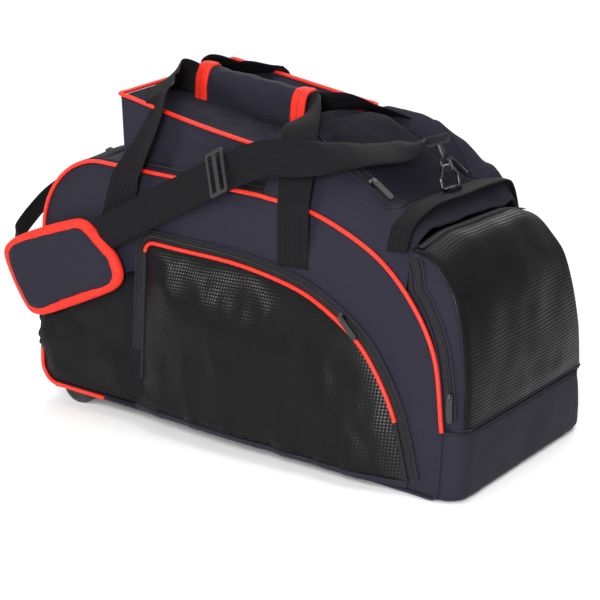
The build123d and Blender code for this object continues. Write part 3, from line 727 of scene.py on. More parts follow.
def sidePanel(sideName, side):
    line = topLine(side)
    edges = line + [(x, lowZ(x)) for x, z in reversed(line)]
    grid, rows = [], 30
    for x, top in line:
        low = lowZ(x)
        column = []
        for r in range(rows + 1):
            t = r / rows
            t = t - 0.10 * math.sin(2 * math.pi * t) / (2 * math.pi) * 2
            z = low + (top - low) * t
            puff = sideSwell(x, z, side, edges)
            shape = min(sideY(z), sideY(340) + 0.02 * (340 - z)) if z > 340 else sideY(z)
            column.append(Vector((x, side * (shape + puff), z)))
        grid.append(column)
    clothGrid(sideName + "_side_cloth", grid, "bag", ["charcoalPolyester"],
              [sideName + "_side_panel"],
              body["wall"], flip=side < 0)
    scuffPanel(sideName, side, edges)
    upright, upper = [[Vector((x, side * (sideY(z) + weltOut), z)) for x, z in part] for part in (arch[:8],
            line)]
    corner = [onSide(side, *cornerAt(a), weltOut) for a in (0.3, 0.7, 1.1, 1.4)]
    low = [onSide(side, x, lowZ(x), weltOut) for x in (-205, -240, -275)]
    welt(sideName + "_side_welt", smoothLine(low + corner + upright + upper, 240), 2.9, "bag",
         nodes=[sideName + "_side_piping"])
    rest = [onSide(side, body["archEnd"], body["bootTop"] - 11 * k, weltOut) for k in range(8)]
    rest += [onSide(side, x, lowZ(x), weltOut) for x in range(350, 350 - 37 * 16, -37)]
    darkCord(sideName + "_low_welt", smoothLine(rest, 110), 1.9)
    outs = [sideOut(side)] * len(line)
    seam = []
    for i, (x, z) in enumerate(line):
        a, b = line[max(i - 1, 0)], line[min(i + 1, len(line) - 1)]
        n = Vector((b[1] - a[1], 0, a[0] - b[0])).normalized() * 7.0
        seam.append(Vector((x + n.x, side * (sideY(min(z, 345)) + 0.9), z + n.z)))
    sewn(sideName + "_side_stitches", seam, outs, 5.0, (3.4, 0.8, 0.7))


for sideName, side in sides.items():
    sidePanel(sideName, side)
print("side panels made")


def bandPiece(name, line, nodes, puff, count=26, flip=False, inset=3.6):
    grid = []
    for i, (x, z) in enumerate(line):
        a, b = line[max(i - 1, 0)], line[min(i + 1, len(line) - 1)]
        out = Vector((-(b[1] - a[1]), 0, b[0] - a[0])).normalized()
        row = []
        for j in range(count + 1):
            t = -1 + 2 * j / count
            t = t + 0.12 * math.sin(math.pi * t) / math.pi
            w = sideY(z) - inset
            d = (1 - abs(t)) * w
            lift = puff * ease(d / 60) + creases(x, t * w, z, 95.0, 4.0) * ease(d / 35)
            row.append(Vector((x, t * w, z)) + out * lift)
        grid.append(row)
    return clothGrid(name, grid, "bag", ["charcoalPolyester"], nodes, body["wall"], flip=flip)


lowArc = [cornerAt(a) for a in (0, 0.4, 0.8, 1.2, math.pi / 2)]
wheelLine = lowArc + [(-330, 264 - 20 * k) for k in (9, 8, 7, 6, 5, 4, 3, 2, 1)] + arch[9:26]
bandPiece("wheel_end_cloth", wheelLine, ["wheel_end_panel"], 5.0)
deckLine = [(-225 + 289 * k / 20, 369 - 15 * k / 20) for k in range(21)]
bandPiece("deck_cloth", deckLine[:5], ["deck_panel"], 3.0)
print("band made")


def pocketDepth(x, z, side):
    d = edgeGap(x, z, pocketArch)
    q = min(d / pocket["edge"], 1)
    depth = 1.5 + (pocket["depth"] - 3.5) * (1 - (1 - q) ** 1.8) ** 0.9
    low = baseZ(x) + pocket["bottom"]
    depth -= 3.0 * math.exp(-(z - low) / 14) * q
    broad = creases(x * 1.6, side * 200, z * 0.7, 70.0, 6.0) * ease(d / 60)
    return depth + broad + creases(x, side * 90 + 40, z, 38.0, 1.1) * ease(d / 30)


def pocketBeside(edge, side, away, out):  # a line beside the pocket seam
    made = []
    for i in range(8, len(edge)):
        a, b = edge[max(i - 1, 0)], edge[min(i + 1, len(edge) - 1)]
        q = edge[i] + Vector((a.y - b.y, b.x - a.x, 0)).normalized() * away
        if q.y > baseZ(q.x) + 18:
            made.append(onSide(side, q.x, q.y, out))
    return made


def sidePocket(sideName, side):
    line = pocketArch[9:]
    grid, runs = [], []
    rows = pocket["rows"]
    for x, top in line:
        low = baseZ(x) + pocket["bottom"] + 0.3
        for r in range(rows + 1):
            t = r / rows
            z = low + (max(top, low + 0.5) - low) * (1 - (1 - t) ** 1.35)
            runs.append((x, z))
        column = [onSide(side, x, run[1], pocketDepth(x, run[1], side)) for run in runs[-rows - 1:]]
        grid.append(column)
    clothGrid(sideName + "_pocket_vinyl", grid, sideName + "_pocket_flap", ["carbonVinyl"],
              [sideName + "_pocket_flap"], 2.6, flip=side < 0, runs=runs)
    strip = []
    for x in [spot[0] for spot in line]:
        top = baseZ(x) + pocket["bottom"] - 0.3
        low = baseZ(x) + 2.5
        depth = pocketDepth(x, top + 0.5, side)
        strip.append([onSide(side, x, top + (low - top) * t, 1.0 + (depth - 1.0) * (1 - 0.35 * t * t)
                             * (0.0 if t == 1 else 1))
                      for t in (0, 0.2, 0.4, 0.6, 0.8, 0.93, 1)])
    clothGrid(sideName + "_pocket_sole", strip, "bag", ["charcoalPolyester"],
              [sideName + "_pocket_base"],
              0.0, flip=side > 0)
    edge = smoothLine([(p[0], p[1], 0) for p in pocketArch], 150)
    outs = [sideOut(side)] * len(edge)
    red = [onSide(side, p.x, p.y, 2.4) for p in edge]
    cut = int(len(red) * 0.9)
    start = next(i for i, p in enumerate(edge) if p.y > 251)
    welt(sideName + "_pocket_welt", red[start:cut], pocket["weltRadius"], "bag")
    darkCord(sideName + "_pocket_side_welt", red[:start + 1], pocket["weltRadius"] * 0.8)
    welt(sideName + "_pocket_low_welt", red[cut - 1:], pocket["weltRadius"] * 0.9, "bag",
         "zipTape")
    path = pocketBeside(edge, side, pocket["zipAway"], 0.6)
    zipRun(sideName + "_pocket_zip_run", path, outs, pocket["zipWidth"], "bag", [sideName + "_pocket_zip"])
    border = pocketBeside(edge, side, pocket["borderAway"], 1.6)
    darkCord(sideName + "_pocket_border", border, 1.5)
    sewn(sideName + "_pocket_stitches", [p + Vector((0, side * 1.6, 0)) for p in border], outs, 4.6,
         (3.2, 0.8, 0.7))


for sideName, side in sides.items():
    sidePocket(sideName, side)
print("side pockets made")


endPocket = {"inset": 5.0, "round": 13.0, "puffFace": 4.0, "puffSide": 4.0, "zipWidth": 11.0}


def bootCloth():
    plan = [(357.6, -1.0)]
    for k in range(9):
        a = -math.pi / 2 + math.pi / 2 * k / 8
        plan.append((360 + 28 * math.cos(a), -1.0 + 28 * (1 + math.sin(a)) / 174))
    for k in range(1, 12):
        plan.append((388, plan[9][1] + (-plan[9][1]) * k / 12))
    plan = plan + [(388, 0.0)] + [(x, -y) for x, y in reversed(plan)]
    rows = []
    for r in range(13):
        t = r / 12
        row = []
        for x, v in plan:
            z = (baseZ(x) + 0.5) + (92 - baseZ(x) - 0.5) * t
            w = sideY(z)
            tuck = 5.0 * max(0, 1 - t / 0.12) ** 2
            puff = (2.5 * math.sin(math.pi * t) + creases(x, v * w, z, 60.0, 3.0) * math.sin(math.pi
                    * t)) * ease((x - 358) / 22)
            narrow = 3.5 * ease((t - 0.6) / 0.4) * ease((x - 357) / 10)
            row.append(Vector((x + puff - tuck * ease((x - 358) / 20), v * (w - tuck * 0.3 - narrow), z)))
        rows.append(row)
    verts = [p for row in rows for p in row]
    n = len(plan)
    faces = [tuple(reversed(f)) for f in gridFaces(len(rows), n)]
    faces.append(tuple(range(n)))
    faces.append(tuple(reversed(range((len(rows) - 1) * n, len(rows) * n))))
    faces = [tuple(reversed(f)) for f in faces]
    made = piece("end_boot_cloth", verts, faces, "bag", ["charcoalPolyester"], ["end_boot"])
    boxRuns(made)
    seam = [p + Vector((0.8, 0, -5.0)) for p in rows[-1]]
    outs = [Vector((1, 0, 0)) if abs(p.y) < 140 else Vector((0.3, math.copysign(1, p.y), 0)) for p in seam]
    sewn("end_boot_stitches", seam, outs)
    darkCord("end_boot_welt", [p + Vector((0.2, 0, -0.6)) for p in rows[-1]], 1.4)


bootCloth()


def sunk(p):  # the cover's top slumps, more at its corners
    high = ease((p.z - 250) / 75)
    return Vector((p.x, p.y, p.z - high * (7.0 + 11.0 * ease((abs(p.y) - 70) / 80))))


def endCover():
    face = smoothLine([(388, 94, 0), (387.6, 128, 0), (386, 161, 0), (377.5, 215, 0), (363.5, 263, 0),
                       (343, 303, 0), (329, 321, 0),
                       (312, 329, 0), (293, 330, 0)], 44)
    inner = smoothLine([(358, 93.6, 0), (352.5, 130, 0), (341, 184, 0), (325, 219, 0), (304, 248, 0),
                        (293, 262, 0), (292.6, 300, 0),
                        (292.6, 329.6, 0)], 44)
    grid, runs = [], []
    sideSteps, roundSteps, flatSteps = 9, 6, 22
    weltLines = {-1: [], 1: []}
    for k in range(44):
        p, q = face[k], inner[k]
        a, b = face[max(k - 1, 0)], face[min(k + 1, 43)]
        out = Vector((b.y - a.y, 0, a.x - b.x)).normalized()
        w = sideY(p.y) - endPocket["inset"]
        r = endPocket["round"]
        row, half = [], []
        fade = ease(k / 4) * ease((43 - k) / 3)
        depth = (p - q).length
        for s in range(sideSteps):
            t = s / sideSteps
            spot = q.lerp(p, t)
            puff = endPocket["puffSide"] * math.sin(math.pi * min(t * 1.1, 1)) * fade
            half.append((q.lerp(p, t * max(0, 1 - r / max(depth, r + 1e-6))), puff, None))
        for s in range(roundSteps + 1):
            ang = math.pi / 2 * s / roundSteps
            half.append((p, None, ang))
        left = []
        for spot, puff, ang in half:
            if ang is None:
                wz = sideY(spot.y) - endPocket["inset"]
                left.append((Vector((spot.x, 0, spot.y)), wz + puff))
            else:
                shrink = min(r, depth)
                at = Vector((p.x, 0, p.y)) - out * shrink * (1 - math.sin(ang))
                left.append((at, w - shrink * (1 - math.cos(ang))))
        for side in (-1, 1):
            weltLines[side].append(left[sideSteps + 1])
        middle = []
        edgeY = left[-1][1]
        for j in range(1, flatSteps):
            t = -1 + 2 * j / flatSteps
            y = edgeY * t
            puff = (endPocket["puffFace"] * (1 - abs(t) ** 3) + creases(p.x, y, p.y, 110.0, 4.5)
                    * (1 - abs(t) ** 4)) * fade
            middle.append(Vector((p.x, y, p.y)) + out * puff)
        row = [Vector((c.x, -y, c.z)) for c, y in left] + middle + [Vector((c.x, y, c.z)) for c,
                y in reversed(left)]
        row = [sunk(p) for p in row]
        grid.append(row)
        for spot in row:
            runs.append((spot.y, k * 5.9))
    columns = len(grid[0])
    faceSlots = []
    for i in range(43):
        for j in range(columns - 1):
            faceSlots.append(0 if sideSteps + 2 <= j < columns - 3 - sideSteps else 1)
    clothGrid("end_pocket_cloth", grid, "end_pocket_cover", ["carbonVinyl",
            "charcoalPolyester"],
                     ["end_pocket_cover"], 3.0, faceSlots=faceSlots, flip=False, runs=runs)
    for sideName, side in sides.items():
        line = [sunk(Vector((c.x, side * (y + 0.8), c.z))) for c, y in weltLines[side]]
        darkCord(sideName + "_end_face_welt", smoothLine(line[1:-2], 90), 1.7, "end_pocket_cover")
        path = []
        for k in range(1, 41):
            p, q = face[k], inner[k]
            t = 0.30 if k < 30 else 0.30 + 0.1 * (k - 30) / 12
            spot = q.lerp(p, t)
            reachOut = sideY(spot.y) - endPocket["inset"] + endPocket["puffSide"] * math.sin(math.pi
                    * t) + 0.6
            path.append(sunk(Vector((spot.x, side * reachOut, spot.y))))
        path = smoothLine(path[2:], 70)
        outs = [sideOut(side)] * len(path)
        zipRun(sideName + "_end_zip_run", path, outs, endPocket["zipWidth"], "end_pocket_cover")
        for shift, label in ((-9.0, "inner"), (9.5, "outer")):
            edge = []
            for i in range(len(path)):
                along = path[min(i + 1, len(path) - 1)] - path[max(i - 1, 0)]
                across = along.cross(outs[i]).normalized() * (shift * side)
                edge.append(path[i] + across + Vector((0, side * 0.4, 0)))
            darkCord(sideName + "_end_zip_" + label, edge, 1.3, "end_pocket_cover")
    top = smoothLine([sunk(Vector((301, y, 330.4))) for y in [-136 + 16 * i for i in range(18)]], 50)
    zipRun("end_top_zip_run", top, [Vector((0, 0, 1))] * 50, endPocket["zipWidth"], "end_pocket_cover")
    low = [p + Vector((0.4, 0, 3.6)) for p in grid[0][sideSteps:columns - sideSteps]]
    darkCord("end_face_low_welt", low, 1.0, "end_pocket_cover")


endCover()
print("end pocket made")


dome = {"lidPuff": 11.0, "lidHalf": 90.0, "hinge": 253.0, "lidLeft": 75.0, "lidRound": 66.0,
        "shoulder": 5.0, "thick": 3.2}
domeX = [64.5, 110.0, 160.0, 210.0, 253.0, 292.0]
crownZ = [444.0, 438.0, 419.0, 388.0, 353.0, 330.0]
edgeZ = [353.0, 347.0, 338.0, 317.0, 294.0, 259.0]


def along(values, x):  # smooth value between the dome stations
    x = max(domeX[0], min(domeX[-1], x))
    i = max(j for j in range(5) if domeX[j] <= x)
    t = (x - domeX[i]) / (domeX[i + 1] - domeX[i])
    before = values[i - 1] if i else 2 * values[0] - values[1]
    after = values[i + 2] if i < 4 else 2 * values[5] - values[4]
    m0, m1 = (values[i + 1] - before) / 2, (after - values[i]) / 2
    t2, t3 = t * t, t * t * t
    return values[i] * (2 * t3 - 3 * t2 + 1) + m0 * (t3 - 2 * t2 + t) + values[i + 1] * (3 * t2 - 2
            * t3) + m1 * (t3 - t2)


def lidGap(x, y):  # distance inside the lid outline, negative outside
    if x > dome["lidLeft"] + dome["lidRound"]:
        return min(dome["lidHalf"] - abs(y), dome["hinge"] - x)
    cy = max(abs(y) - (dome["lidHalf"] - dome["lidRound"]), 0)
    return dome["lidRound"] - math.hypot(dome["lidLeft"] + dome["lidRound"] - x,
                                         cy) if cy else x - dome["lidLeft"]


def domeTop(x, u):  # u runs from -1 at the front seam to 1 at the rear one
    edge, crown = along(edgeZ, x), along(crownZ, x)
    half = sideY(edge)
    y = half * u
    z = edge + (crown - edge) * (1 - abs(u) ** (3.2 + 9.0 * ease((x - 232) / 52)))
    if u > 0:
        z += (rearLift(x)) * ease((y - 96) / 42)
    gap = lidGap(x, y)
    if gap > 0:
        z += dome["lidPuff"] * ease(gap / 60)
    else:
        away = ease(-gap / 26) * ease((1 - abs(u)) / 0.10) * ease((x - 66) / 20)
        z += dome["shoulder"] * away
    z += creases(x, y, 50, 70.0, 5.0) * ease(abs(gap) / 25) * ease((1 - abs(u)) / 0.12)
    z -= (5.5 + 10.0 * ease((abs(y) - 70) / 80)) * ease((x - 254) / 36) * ease((1 - abs(u)) / 0.06)
    return Vector((x, y, z))


def domeAt(x, y):
    edge = along(edgeZ, x)
    return domeTop(x, max(-1, min(1, y / sideY(edge))))


def domeNormal(x, y):
    a = domeAt(x + 2, y) - domeAt(x - 2, y)
    b = domeAt(x, y + 2) - domeAt(x, y - 2)
    return a.cross(b).normalized()


def lidPlan(grow, count):  # the lid's D-shaped edge
    half, r = dome["lidHalf"] + grow, dome["lidRound"] + grow
    cx = dome["lidLeft"] + dome["lidRound"]
    pts = [(dome["hinge"] - 12.5 * i, -half) for i in range(9)]
    inner = half - r
    for k in range(1, 10):
        a = math.pi / 2 * k / 9
        pts.append((cx - r * math.sin(a), -inner - r * math.cos(a)))
    pts += [(x, -y) for x, y in reversed(pts)]
    return smoothLine([(x, y, 0) for x, y in pts], count)


def cutter(name, grow):
    line = lidPlan(grow, 90)
    verts = [(p.x, p.y, 300) for p in line] + [(p.x, p.y, 520) for p in line]
    n = len(line)
    faces = [(i, (i + 1) % n, n + (i + 1) % n, n + i) for i in range(n)]
    faces += [tuple(reversed(range(n))), tuple(range(n, 2 * n))]
    mesh = bpy.data.meshes.new(name)
    mesh.from_pydata([tuple(Vector(v) * 0.001) for v in verts], [], faces)
    made = bpy.data.objects.new(name, mesh)
    bpy.context.scene.collection.objects.link(made)
    return made


def domePieces():
    xs = [64.7 + (292 - 64.7) * k / 64 for k in range(65)]
    us = [-1 + 2 * j / 80 for j in range(81)]
    for name, rider, node, operation in (("dome_cloth", "bag", "dome_panel", "DIFFERENCE"),
                                         ("lid_cloth", "main_lid", "main_lid", "INTERSECT")):
        grid = [[domeTop(x, u) for u in us] for x in xs]
        made = clothGrid(name, grid, rider, ["charcoalPolyester"], [node], dome["thick"],
                         flip=True)
        tool = cutter(name + "_cutter", 0.0 if operation == "DIFFERENCE" else -0.8)
        applied(made, ("BOOLEAN", {"operation": operation, "object": tool, "solver": "EXACT"}))
        bpy.data.objects.remove(tool)
        boxRuns(made)
    line = [p for p in lidPlan(6.5, 150) if p.x < 251]
    path = [domeAt(p.x, p.y) + domeNormal(p.x, p.y) * 0.5 for p in line]
    outs = [domeNormal(p.x, p.y) for p in line]
    zipRun("lid_zip_run", path, outs, 12.0, "bag", ["lid_zip"])
    for grow, radius, label, owner in ((13.6, 1.6, "lid_zip_border", "bag"), (-3.5, 1.6, "lid_edge_welt",
            "main_lid")):
        line = [p for p in lidPlan(grow, 130) if p.x < 250]
        darkCord(label, [domeAt(p.x, p.y) + domeNormal(p.x, p.y) * 0.8 for p in line], radius, owner)
    seam = [domeAt(p.x, p.y) + domeNormal(p.x, p.y) * 1.0 for p in lidPlan(-8, 130) if p.x < 246]
    outs = [domeNormal(p.x, p.y) for p in seam]
    sewn("lid_stitches", seam, outs, owner="main_lid")
    hinge = [domeAt(253.5, y) + Vector((0.4, 0, 0.8)) for y in [-92 + 8 * i for i in range(24)]]
    darkCord("lid_hinge_welt", hinge, 1.7)
    for side in (-1, 1):
        crease = [domeAt(268 - 9 * k, side * (96 + 3.2 * k)) for k in range(15)]
        darkCord(("front" if side < 0 else "rear") + "_dome_seam", [c + Vector((0, 0, 0.4))
                for c in crease], 1.2)


domePieces()
print("dome and lid made")


helmetBox = {"x0": -192.0, "x1": 64.0, "half": 128.0, "rimStart": 468.0, "rimEnd": 420.0, "topDrop": 14.0,
             "puff": 5.0, "farLift": 18.0, "overhang": 2.5}


def rimAt(x, side=0.0):
    t = (x - helmetBox["x0"]) / (helmetBox["x1"] - helmetBox["x0"])
    z = helmetBox["rimStart"] + (helmetBox["rimEnd"] - helmetBox["rimStart"]) * t
    return z + helmetBox["farLift"] * (side + 1) / 2 - (4.0 + 5.0 * t + 3.0 * math.sin(math.pi * t)) * (1
            - side) / 2


def helmetPieces():
    x0, x1, half = helmetBox["x0"], helmetBox["x1"], helmetBox["half"]
    for sideName, side in sides.items():
        grid = []
        for i in range(37):
            x = x0 + (x1 - x0) * i / 36
            low = deckZ(x) - 3
            column = []
            for r in range(19):
                t = r / 18
                z = low + (rimAt(x, side) - low) * t
                d = min(x - x0, x1 - x, (rimAt(x, side) - z), 60)
                puff = helmetBox["puff"] * ease(d / 30) + creases(x, side * 128, z, 48.0,
                        5.0) * ease(d / 18)
                tip = helmetBox["overhang"] * t * ease((x0 + 70 - x) / 70)
                column.append(Vector((x - tip, side * (half + puff - 4.0 * math.sin(math.pi * t)
                        * ease((x - x0) / 60)), z)))
            grid.append(column)
        node = ["helmet_box_walls"] if side < 0 else []
        clothGrid(sideName + "_helmet_wall", grid, "bag", ["charcoalPolyester"], node, 3.2,
                  flip=side < 0)
    for name, x, node, owner, turn in (("helmet_back_wall", x1, [], "bag", True), ("helmet_door_cloth", x0,
            ["helmet_box_door"], "helmet_box_door", False)):
        grid = []
        door = owner != "bag"
        for i in range(31):
            f = -1 + 2 * i / 30
            low = deckZ(x) + (6.0 if door else -3)
            top = rimAt(x, f) - (4.5 if door else 0)
            wide = half - (4.5 if door else 0)
            column = []
            for r in range(15):
                t = r / 14
                d = min((1 - abs(f)) * half, (1 - t) * 60, t * 60)
                puff = (-4.0 if door else 4.0 * ease(d / 25)) + creases(x, f * half, t * 60, 50.0,
                        2.5) * ease(d / 15)
                column.append(Vector((x + (puff if x > 0 else -puff - helmetBox["overhang"] * t), f * wide,
                                      low + (top - low) * t)))
            grid.append(column)
        clothGrid(name, grid, owner, ["charcoalPolyester"], node, 3.2, flip=not turn)
    grid = []
    for i in range(41):
        x = x0 + (x1 - x0) * i / 40
        row = []
        for j in range(33):
            f = -1 + 2 * j / 32
            d = min((1 - abs(f)) * half, x - x0, x1 - x)
            z = rimAt(x, f) - 1.5 - helmetBox["topDrop"] * ease(d / 42) * (0.72 + 0.28 * f * f)
            z += creases(x, f * half, 7, 60.0, 8.0) * ease(d / 30)
            row.append(Vector((x - helmetBox["overhang"] * ease((x0 + 70 - x) / 70), f * half, z)))
        grid.append(row)
    clothGrid("helmet_top_cloth", grid, "bag", ["charcoalPolyester"], ["helmet_box_top"], 3.2,
              flip=True)
    corners = [(x0 - 3.5, -half - 1), (x1, -half - 1), (x1 + 1, half + 1), (x0 - 3.5, half + 1)]
    ring = []
    for (ax, ay), (bx, by) in zip(corners, corners[1:] + corners[:1]):
        for k in range(16):
            t = k / 16
            x, y = ax + (bx - ax) * t, ay + (by - ay) * t
            ring.append(Vector((x, y, rimAt(max(x0, min(x1, x)), max(-1, min(1, y / half))) + 1.6)))
    welt("helmet_rim_welt", smoothLine(ring, 220, True), 2.9, "bag",
         nodes=["helmet_box_piping"], closed=True)
    for sideName, side in sides.items():
        line = [Vector((x0 + 4 + (x1 - x0 - 8) * k / 30, side * (half + 2.0), rimAt(x0 + (x1 - x0) * k / 30,
                side) - 6.5)) for k in range(31)]
        sewn(sideName + "_helmet_stitches", line, [Vector((0, side, 0))] * 31)
    steps = [x0 + (x1 - x0) * k / 30 for k in range(31)]
    low = [Vector((x, -half - 2.6, deckZ(x) + 6)) for x in steps]
    zipRun("helmet_low_zip", low, [Vector((0, -1, 0.2))] * 31, 10.0, "bag")
    door = []
    for k in range(41):
        f = -1 + 2 * k / 40
        door.append(Vector((x0 + 1.8, f * (half - 8), rimAt(x0, f) - 11)))
    zipRun("helmet_door_zip", door, [Vector((-1, 0, 0))] * 41, 9.0, "helmet_box_door")


helmetPieces()
print("helmet box made")


def deckSides():
    for sideName, side in sides.items():
        grid = []
        for i in range(46):
            x = -225 + 289 * i / 45
            z = deckZ(x)
            row = []
            for j in range(9):
                t = j / 8
                inner = 127.0 if x > -192 else 60.0
                y = inner + (sideY(340) - 1.5 - inner) * t
                top = z + (seamTop(x, z, side) - z) * t
                puff = 4.0 * math.sin(math.pi * t) + creases(x, side * y, z, 70.0, 4.0) * math.sin(math.pi
                        * t)
                row.append(Vector((x, side * y, top + puff)))
            grid.append(row)
        clothGrid(sideName + "_deck_cloth", grid, "bag", ["charcoalPolyester"], [], 3.2,
                  flip=side > 0)


deckSides()
for node in ("base_panel", "end_divider"):
    repaint(node, "charcoalPolyester")


webbing = {"wide": 50.0, "thick": 2.4, "haulWide": 30.0}


def foldedEnd(name, x, side, low, high):  # box stitch with a cross at a handle's foot
    half = 19.0
    corners = [(x - half, low), (x + half, low), (x + half, high), (x - half, high), (x - half, low),
               (x + half, high)]
    other = [(x - half, high), (x + half, low)]
    spots = []
    for line in (corners, other):
        pts = [onSide(side, a, b, 5.2) for a, b in line]
        spots += stitchRow(pts, [sideOut(side)] * len(pts), 3.6)
    lozenges(name, spots, (2.6, 0.8, 0.7), "bag", "blackStitch")


def carryHandle(sideName, side):
    s = side
    footY, topY = sideY(268) + 3.6, sideY(352) + 8.4
    rise = 24 if side > 0 else 0
    stations = [
        ((121, s * footY, 268), (1, 0, 0)),
        ((121, s * (sideY(310) + 6.5), 310 + rise * 0.4), (1, 0, 0)),
        ((121, s * topY, 352 + rise), (1, 0, 0)),
        ((112, s * 131, 402 + rise * 0.6), (1, -s * 0.1, 0)),
        ((84, s * 86, 441), (0.9, -s * 0.4, 0.2)),
        ((58, s * 28, 450), (0.5, -s * 0.3, 0.8)),
        ((34, s * 5, 446), (0, 0, 1)),
        ((-60, s * 5, 457), (0, 0, 1)),
        ((-154, s * 5, 471), (0, 0, 1)),
        ((-169, s * 30, 483), (0.35, -s * 0.2, 0.9)),
        ((-156, s * 82, 480), (0.8, s * 0.5, 0.2)),
        ((-124, s * 128, 468), (0.8, s * 0.6, -0.1)),
        ((-120, s * 141, 446), (0.8, s * 0.6, -0.2)),
        ((-136, s * 146, 412), (0.8, s * 0.55, -0.35)),
        ((-157, s * 156, 370), (0.85, s * 0.3, -0.42)),
        ((-168, s * (topY + 1.4), 346), (0.9, 0, -0.42)),
        ((-194, s * (footY + 1.5), 268), (0.9, 0, -0.42)),
    ]
    ribbon(sideName + "_carry_webbing", stations, webbing["wide"], webbing["thick"], "bag",
           nodes=[sideName + "_carry_handle"], crown=1.0)
    foldedEnd(sideName + "_handle_stitches_a", 121, side, 276, 312)
    foldedEnd(sideName + "_handle_stitches_b", -184, side, 278, 308)


for sideName, side in sides.items():
    carryHandle(sideName, side)

haulSpots = [((276, -151, 309), (1, 0, 0)), ((275, -147, 317), (1, 0, 0)), ((273, -129, 338), (1, 0, 0)),
             ((273, -80, 355), (1, 0, 0)),
             ((273, 0, 357), (1, 0, 0)), ((273, 80, 358), (1, 0, 0)), ((273, 126, 352), (1, 0, 0)),
             ((273, 148, 316), (1, 0, 0)),
             ((273, 151.5, 294), (1, 0, 0))]
ribbon("haul_webbing", haulSpots, webbing["haulWide"], webbing["thick"], "bag",
       nodes=["haul_handle"], crown=0.8)


grip = {"start": (37, 0, 443.5), "end": (-149, 0, 468.0), "wide": 31.0, "tall": 58.0, "band": 19.0}


def gripSleeve():
    a, b = Vector(grip["end"]), Vector(grip["start"])
    axis = (b - a).normalized()
    upward = (Vector((0, 0, 1)) - axis * axis.z).normalized()
    length = (b - a).length

    def loop(t, grow):
        centre = a.lerp(b, t)
        made = []
        fat = 1 + 0.10 * math.sin(math.pi * t)
        for k in range(40):
            ang = 2 * math.pi * k / 40
            c, s = math.cos(ang), math.sin(ang)
            y = math.copysign(abs(c) ** 0.62, c) * (grip["wide"] / 2 * fat + grow)
            z = math.copysign(abs(s) ** 0.75, s) * (grip["tall"] / 2 + grow)
            p = centre + Vector((0, y, 0)) + upward * z
            dent = creases(t * length, k * 5, 3, 34.0, 2.6)
            made.append(p + (Vector((0, y, 0)) + upward * z).normalized() * dent)
        return made

    rows = 46
    verts, runs = [], []
    for i in range(rows):
        t = i / (rows - 1)
        ring = loop(t, -1.2 if t in (0.0, 1.0) else 0.0)
        verts += ring
        runs += [(t * length, k * 4.4) for k in range(40)]
    faces = gridFaces(rows, 40, wrap=True)
    faces += [tuple(reversed(range(40))), tuple((rows - 1) * 40 + k for k in range(40))]
    made = piece("grip_padding", verts, faces, "bag", ["charcoalPolyester"], ["grip_wrap"], runs)
    for label, t0, t1 in (("grip_band_left", -0.012, grip["band"] / length), ("grip_band_right",
            1 - grip["band"] / length, 1.012)):
        verts, runs = [], []
        profile = [(t0, 0.2), (t0, 2.2), (t0 + (t1 - t0) * 0.15, 3.2), (t0 + (t1 - t0) * 0.85, 3.2),
                   (t1, 2.2), (t1, 0.2)]
        for t, grow in profile:
            ring = loop(t, grow)
            verts += ring
            runs += [(t * length, k * 4.4) for k in range(40)]
        faces = gridFaces(len(profile), 40, wrap=True)
        piece(label, verts, faces, "bag", ["redBinding"], runs=runs)
        middle = t0 + (t1 - t0) * 0.5
        ring = loop(middle, 3.6)
        outs = [(p - a.lerp(b, middle)).normalized() for p in ring]
        lozenges(label + "_stitches", stitchRow(ring + ring[:1], outs + outs[:1], 4.4), (3.0, 0.8, 0.7),
                 "bag", "blackStitch")
    under = [a.lerp(b, (k + 0.5) / 34) + Vector((0, -grip["wide"] / 2 - 0.4, 0)) - upward * 14
             for k in range(3, 31)]
    lozenges("grip_seam_stitches", stitchRow(under, [Vector((0, -1, 0))] * len(under), 4.6),
             (3.2, 0.8, 0.7), "bag", "blackStitch")


gripSleeve()
print("handles made")


shoulder = {"wide": 50.0, "thick": 2.4}
strapSpots = [
    ((232, -9, 424), (-0.5, 0.75, -0.2)),
    ((212, -40, 412), (-0.8, 0.55, 0.4)),
    ((190, -75, 411), (-0.8, 0.55, 0.4)),
    ((164, -108, 411), (-0.7, 0.5, 0.6)),
    ((134, -140, 409), (-0.5, 0.35, 0.8)),
    ((82, -155, 407), (-0.2, 0.25, 0.93)),
    ((31, -161, 389), (-0.35, 0.2, 0.9)),
    ((-92, -171, 327), (-0.43, 0.08, 0.9)),
    ((-150, -177, 297), (-0.4, 0, 0.92)),
    ((-196, -181, 272), (-0.4, 0, 0.92)),
]
strapMade = ribbon("shoulder_strap_webbing", strapSpots, shoulder["wide"], shoulder["thick"], None,
                   nodes=["shoulder_strap"], crown=1.2)
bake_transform(strapMade)
tailSpots = [
    ((-356, -172, 222), (0.3, 0, 0.95)),
    ((-374, -171, 227), (0.3, 0, 0.95)),
    ((-387, -158, 242), (0.1, 0.35, 0.9)),
    ((-386, -100, 284), (0.2, -0.5, 0.8)),
    ((-383, -30, 316), (0.45, -0.3, 0.8)),
]
ribbon("shoulder_tail_webbing", tailSpots, 34.0, shoulder["thick"], "bag",
       nodes=["shoulder_strap_tail"])

pad = {"y": -181.0, "thick": 15.0, "bind": 13.0, "fill": 0.65, "pressure": 4.0, "cap": 5.0, "voxel": 4.0}
padEdge = [(-387, 222), (-369, 243), (-306, 269), (-240, 289), (-221, 288), (-195, 270), (-170, 248),
           (-158, 224), (-163, 206),
           (-182, 193), (-250, 163), (-313, 138), (-336, 137), (-352, 151), (-374, 186)]


def inwardAt(line, j, centre):
    a, b = line[j - 1], line[(j + 1) % len(line)]
    inward = Vector((-(b.y - a.y), b.x - a.x, 0)).normalized()
    return -inward if inward.dot(centre - line[j]) < 0 else inward


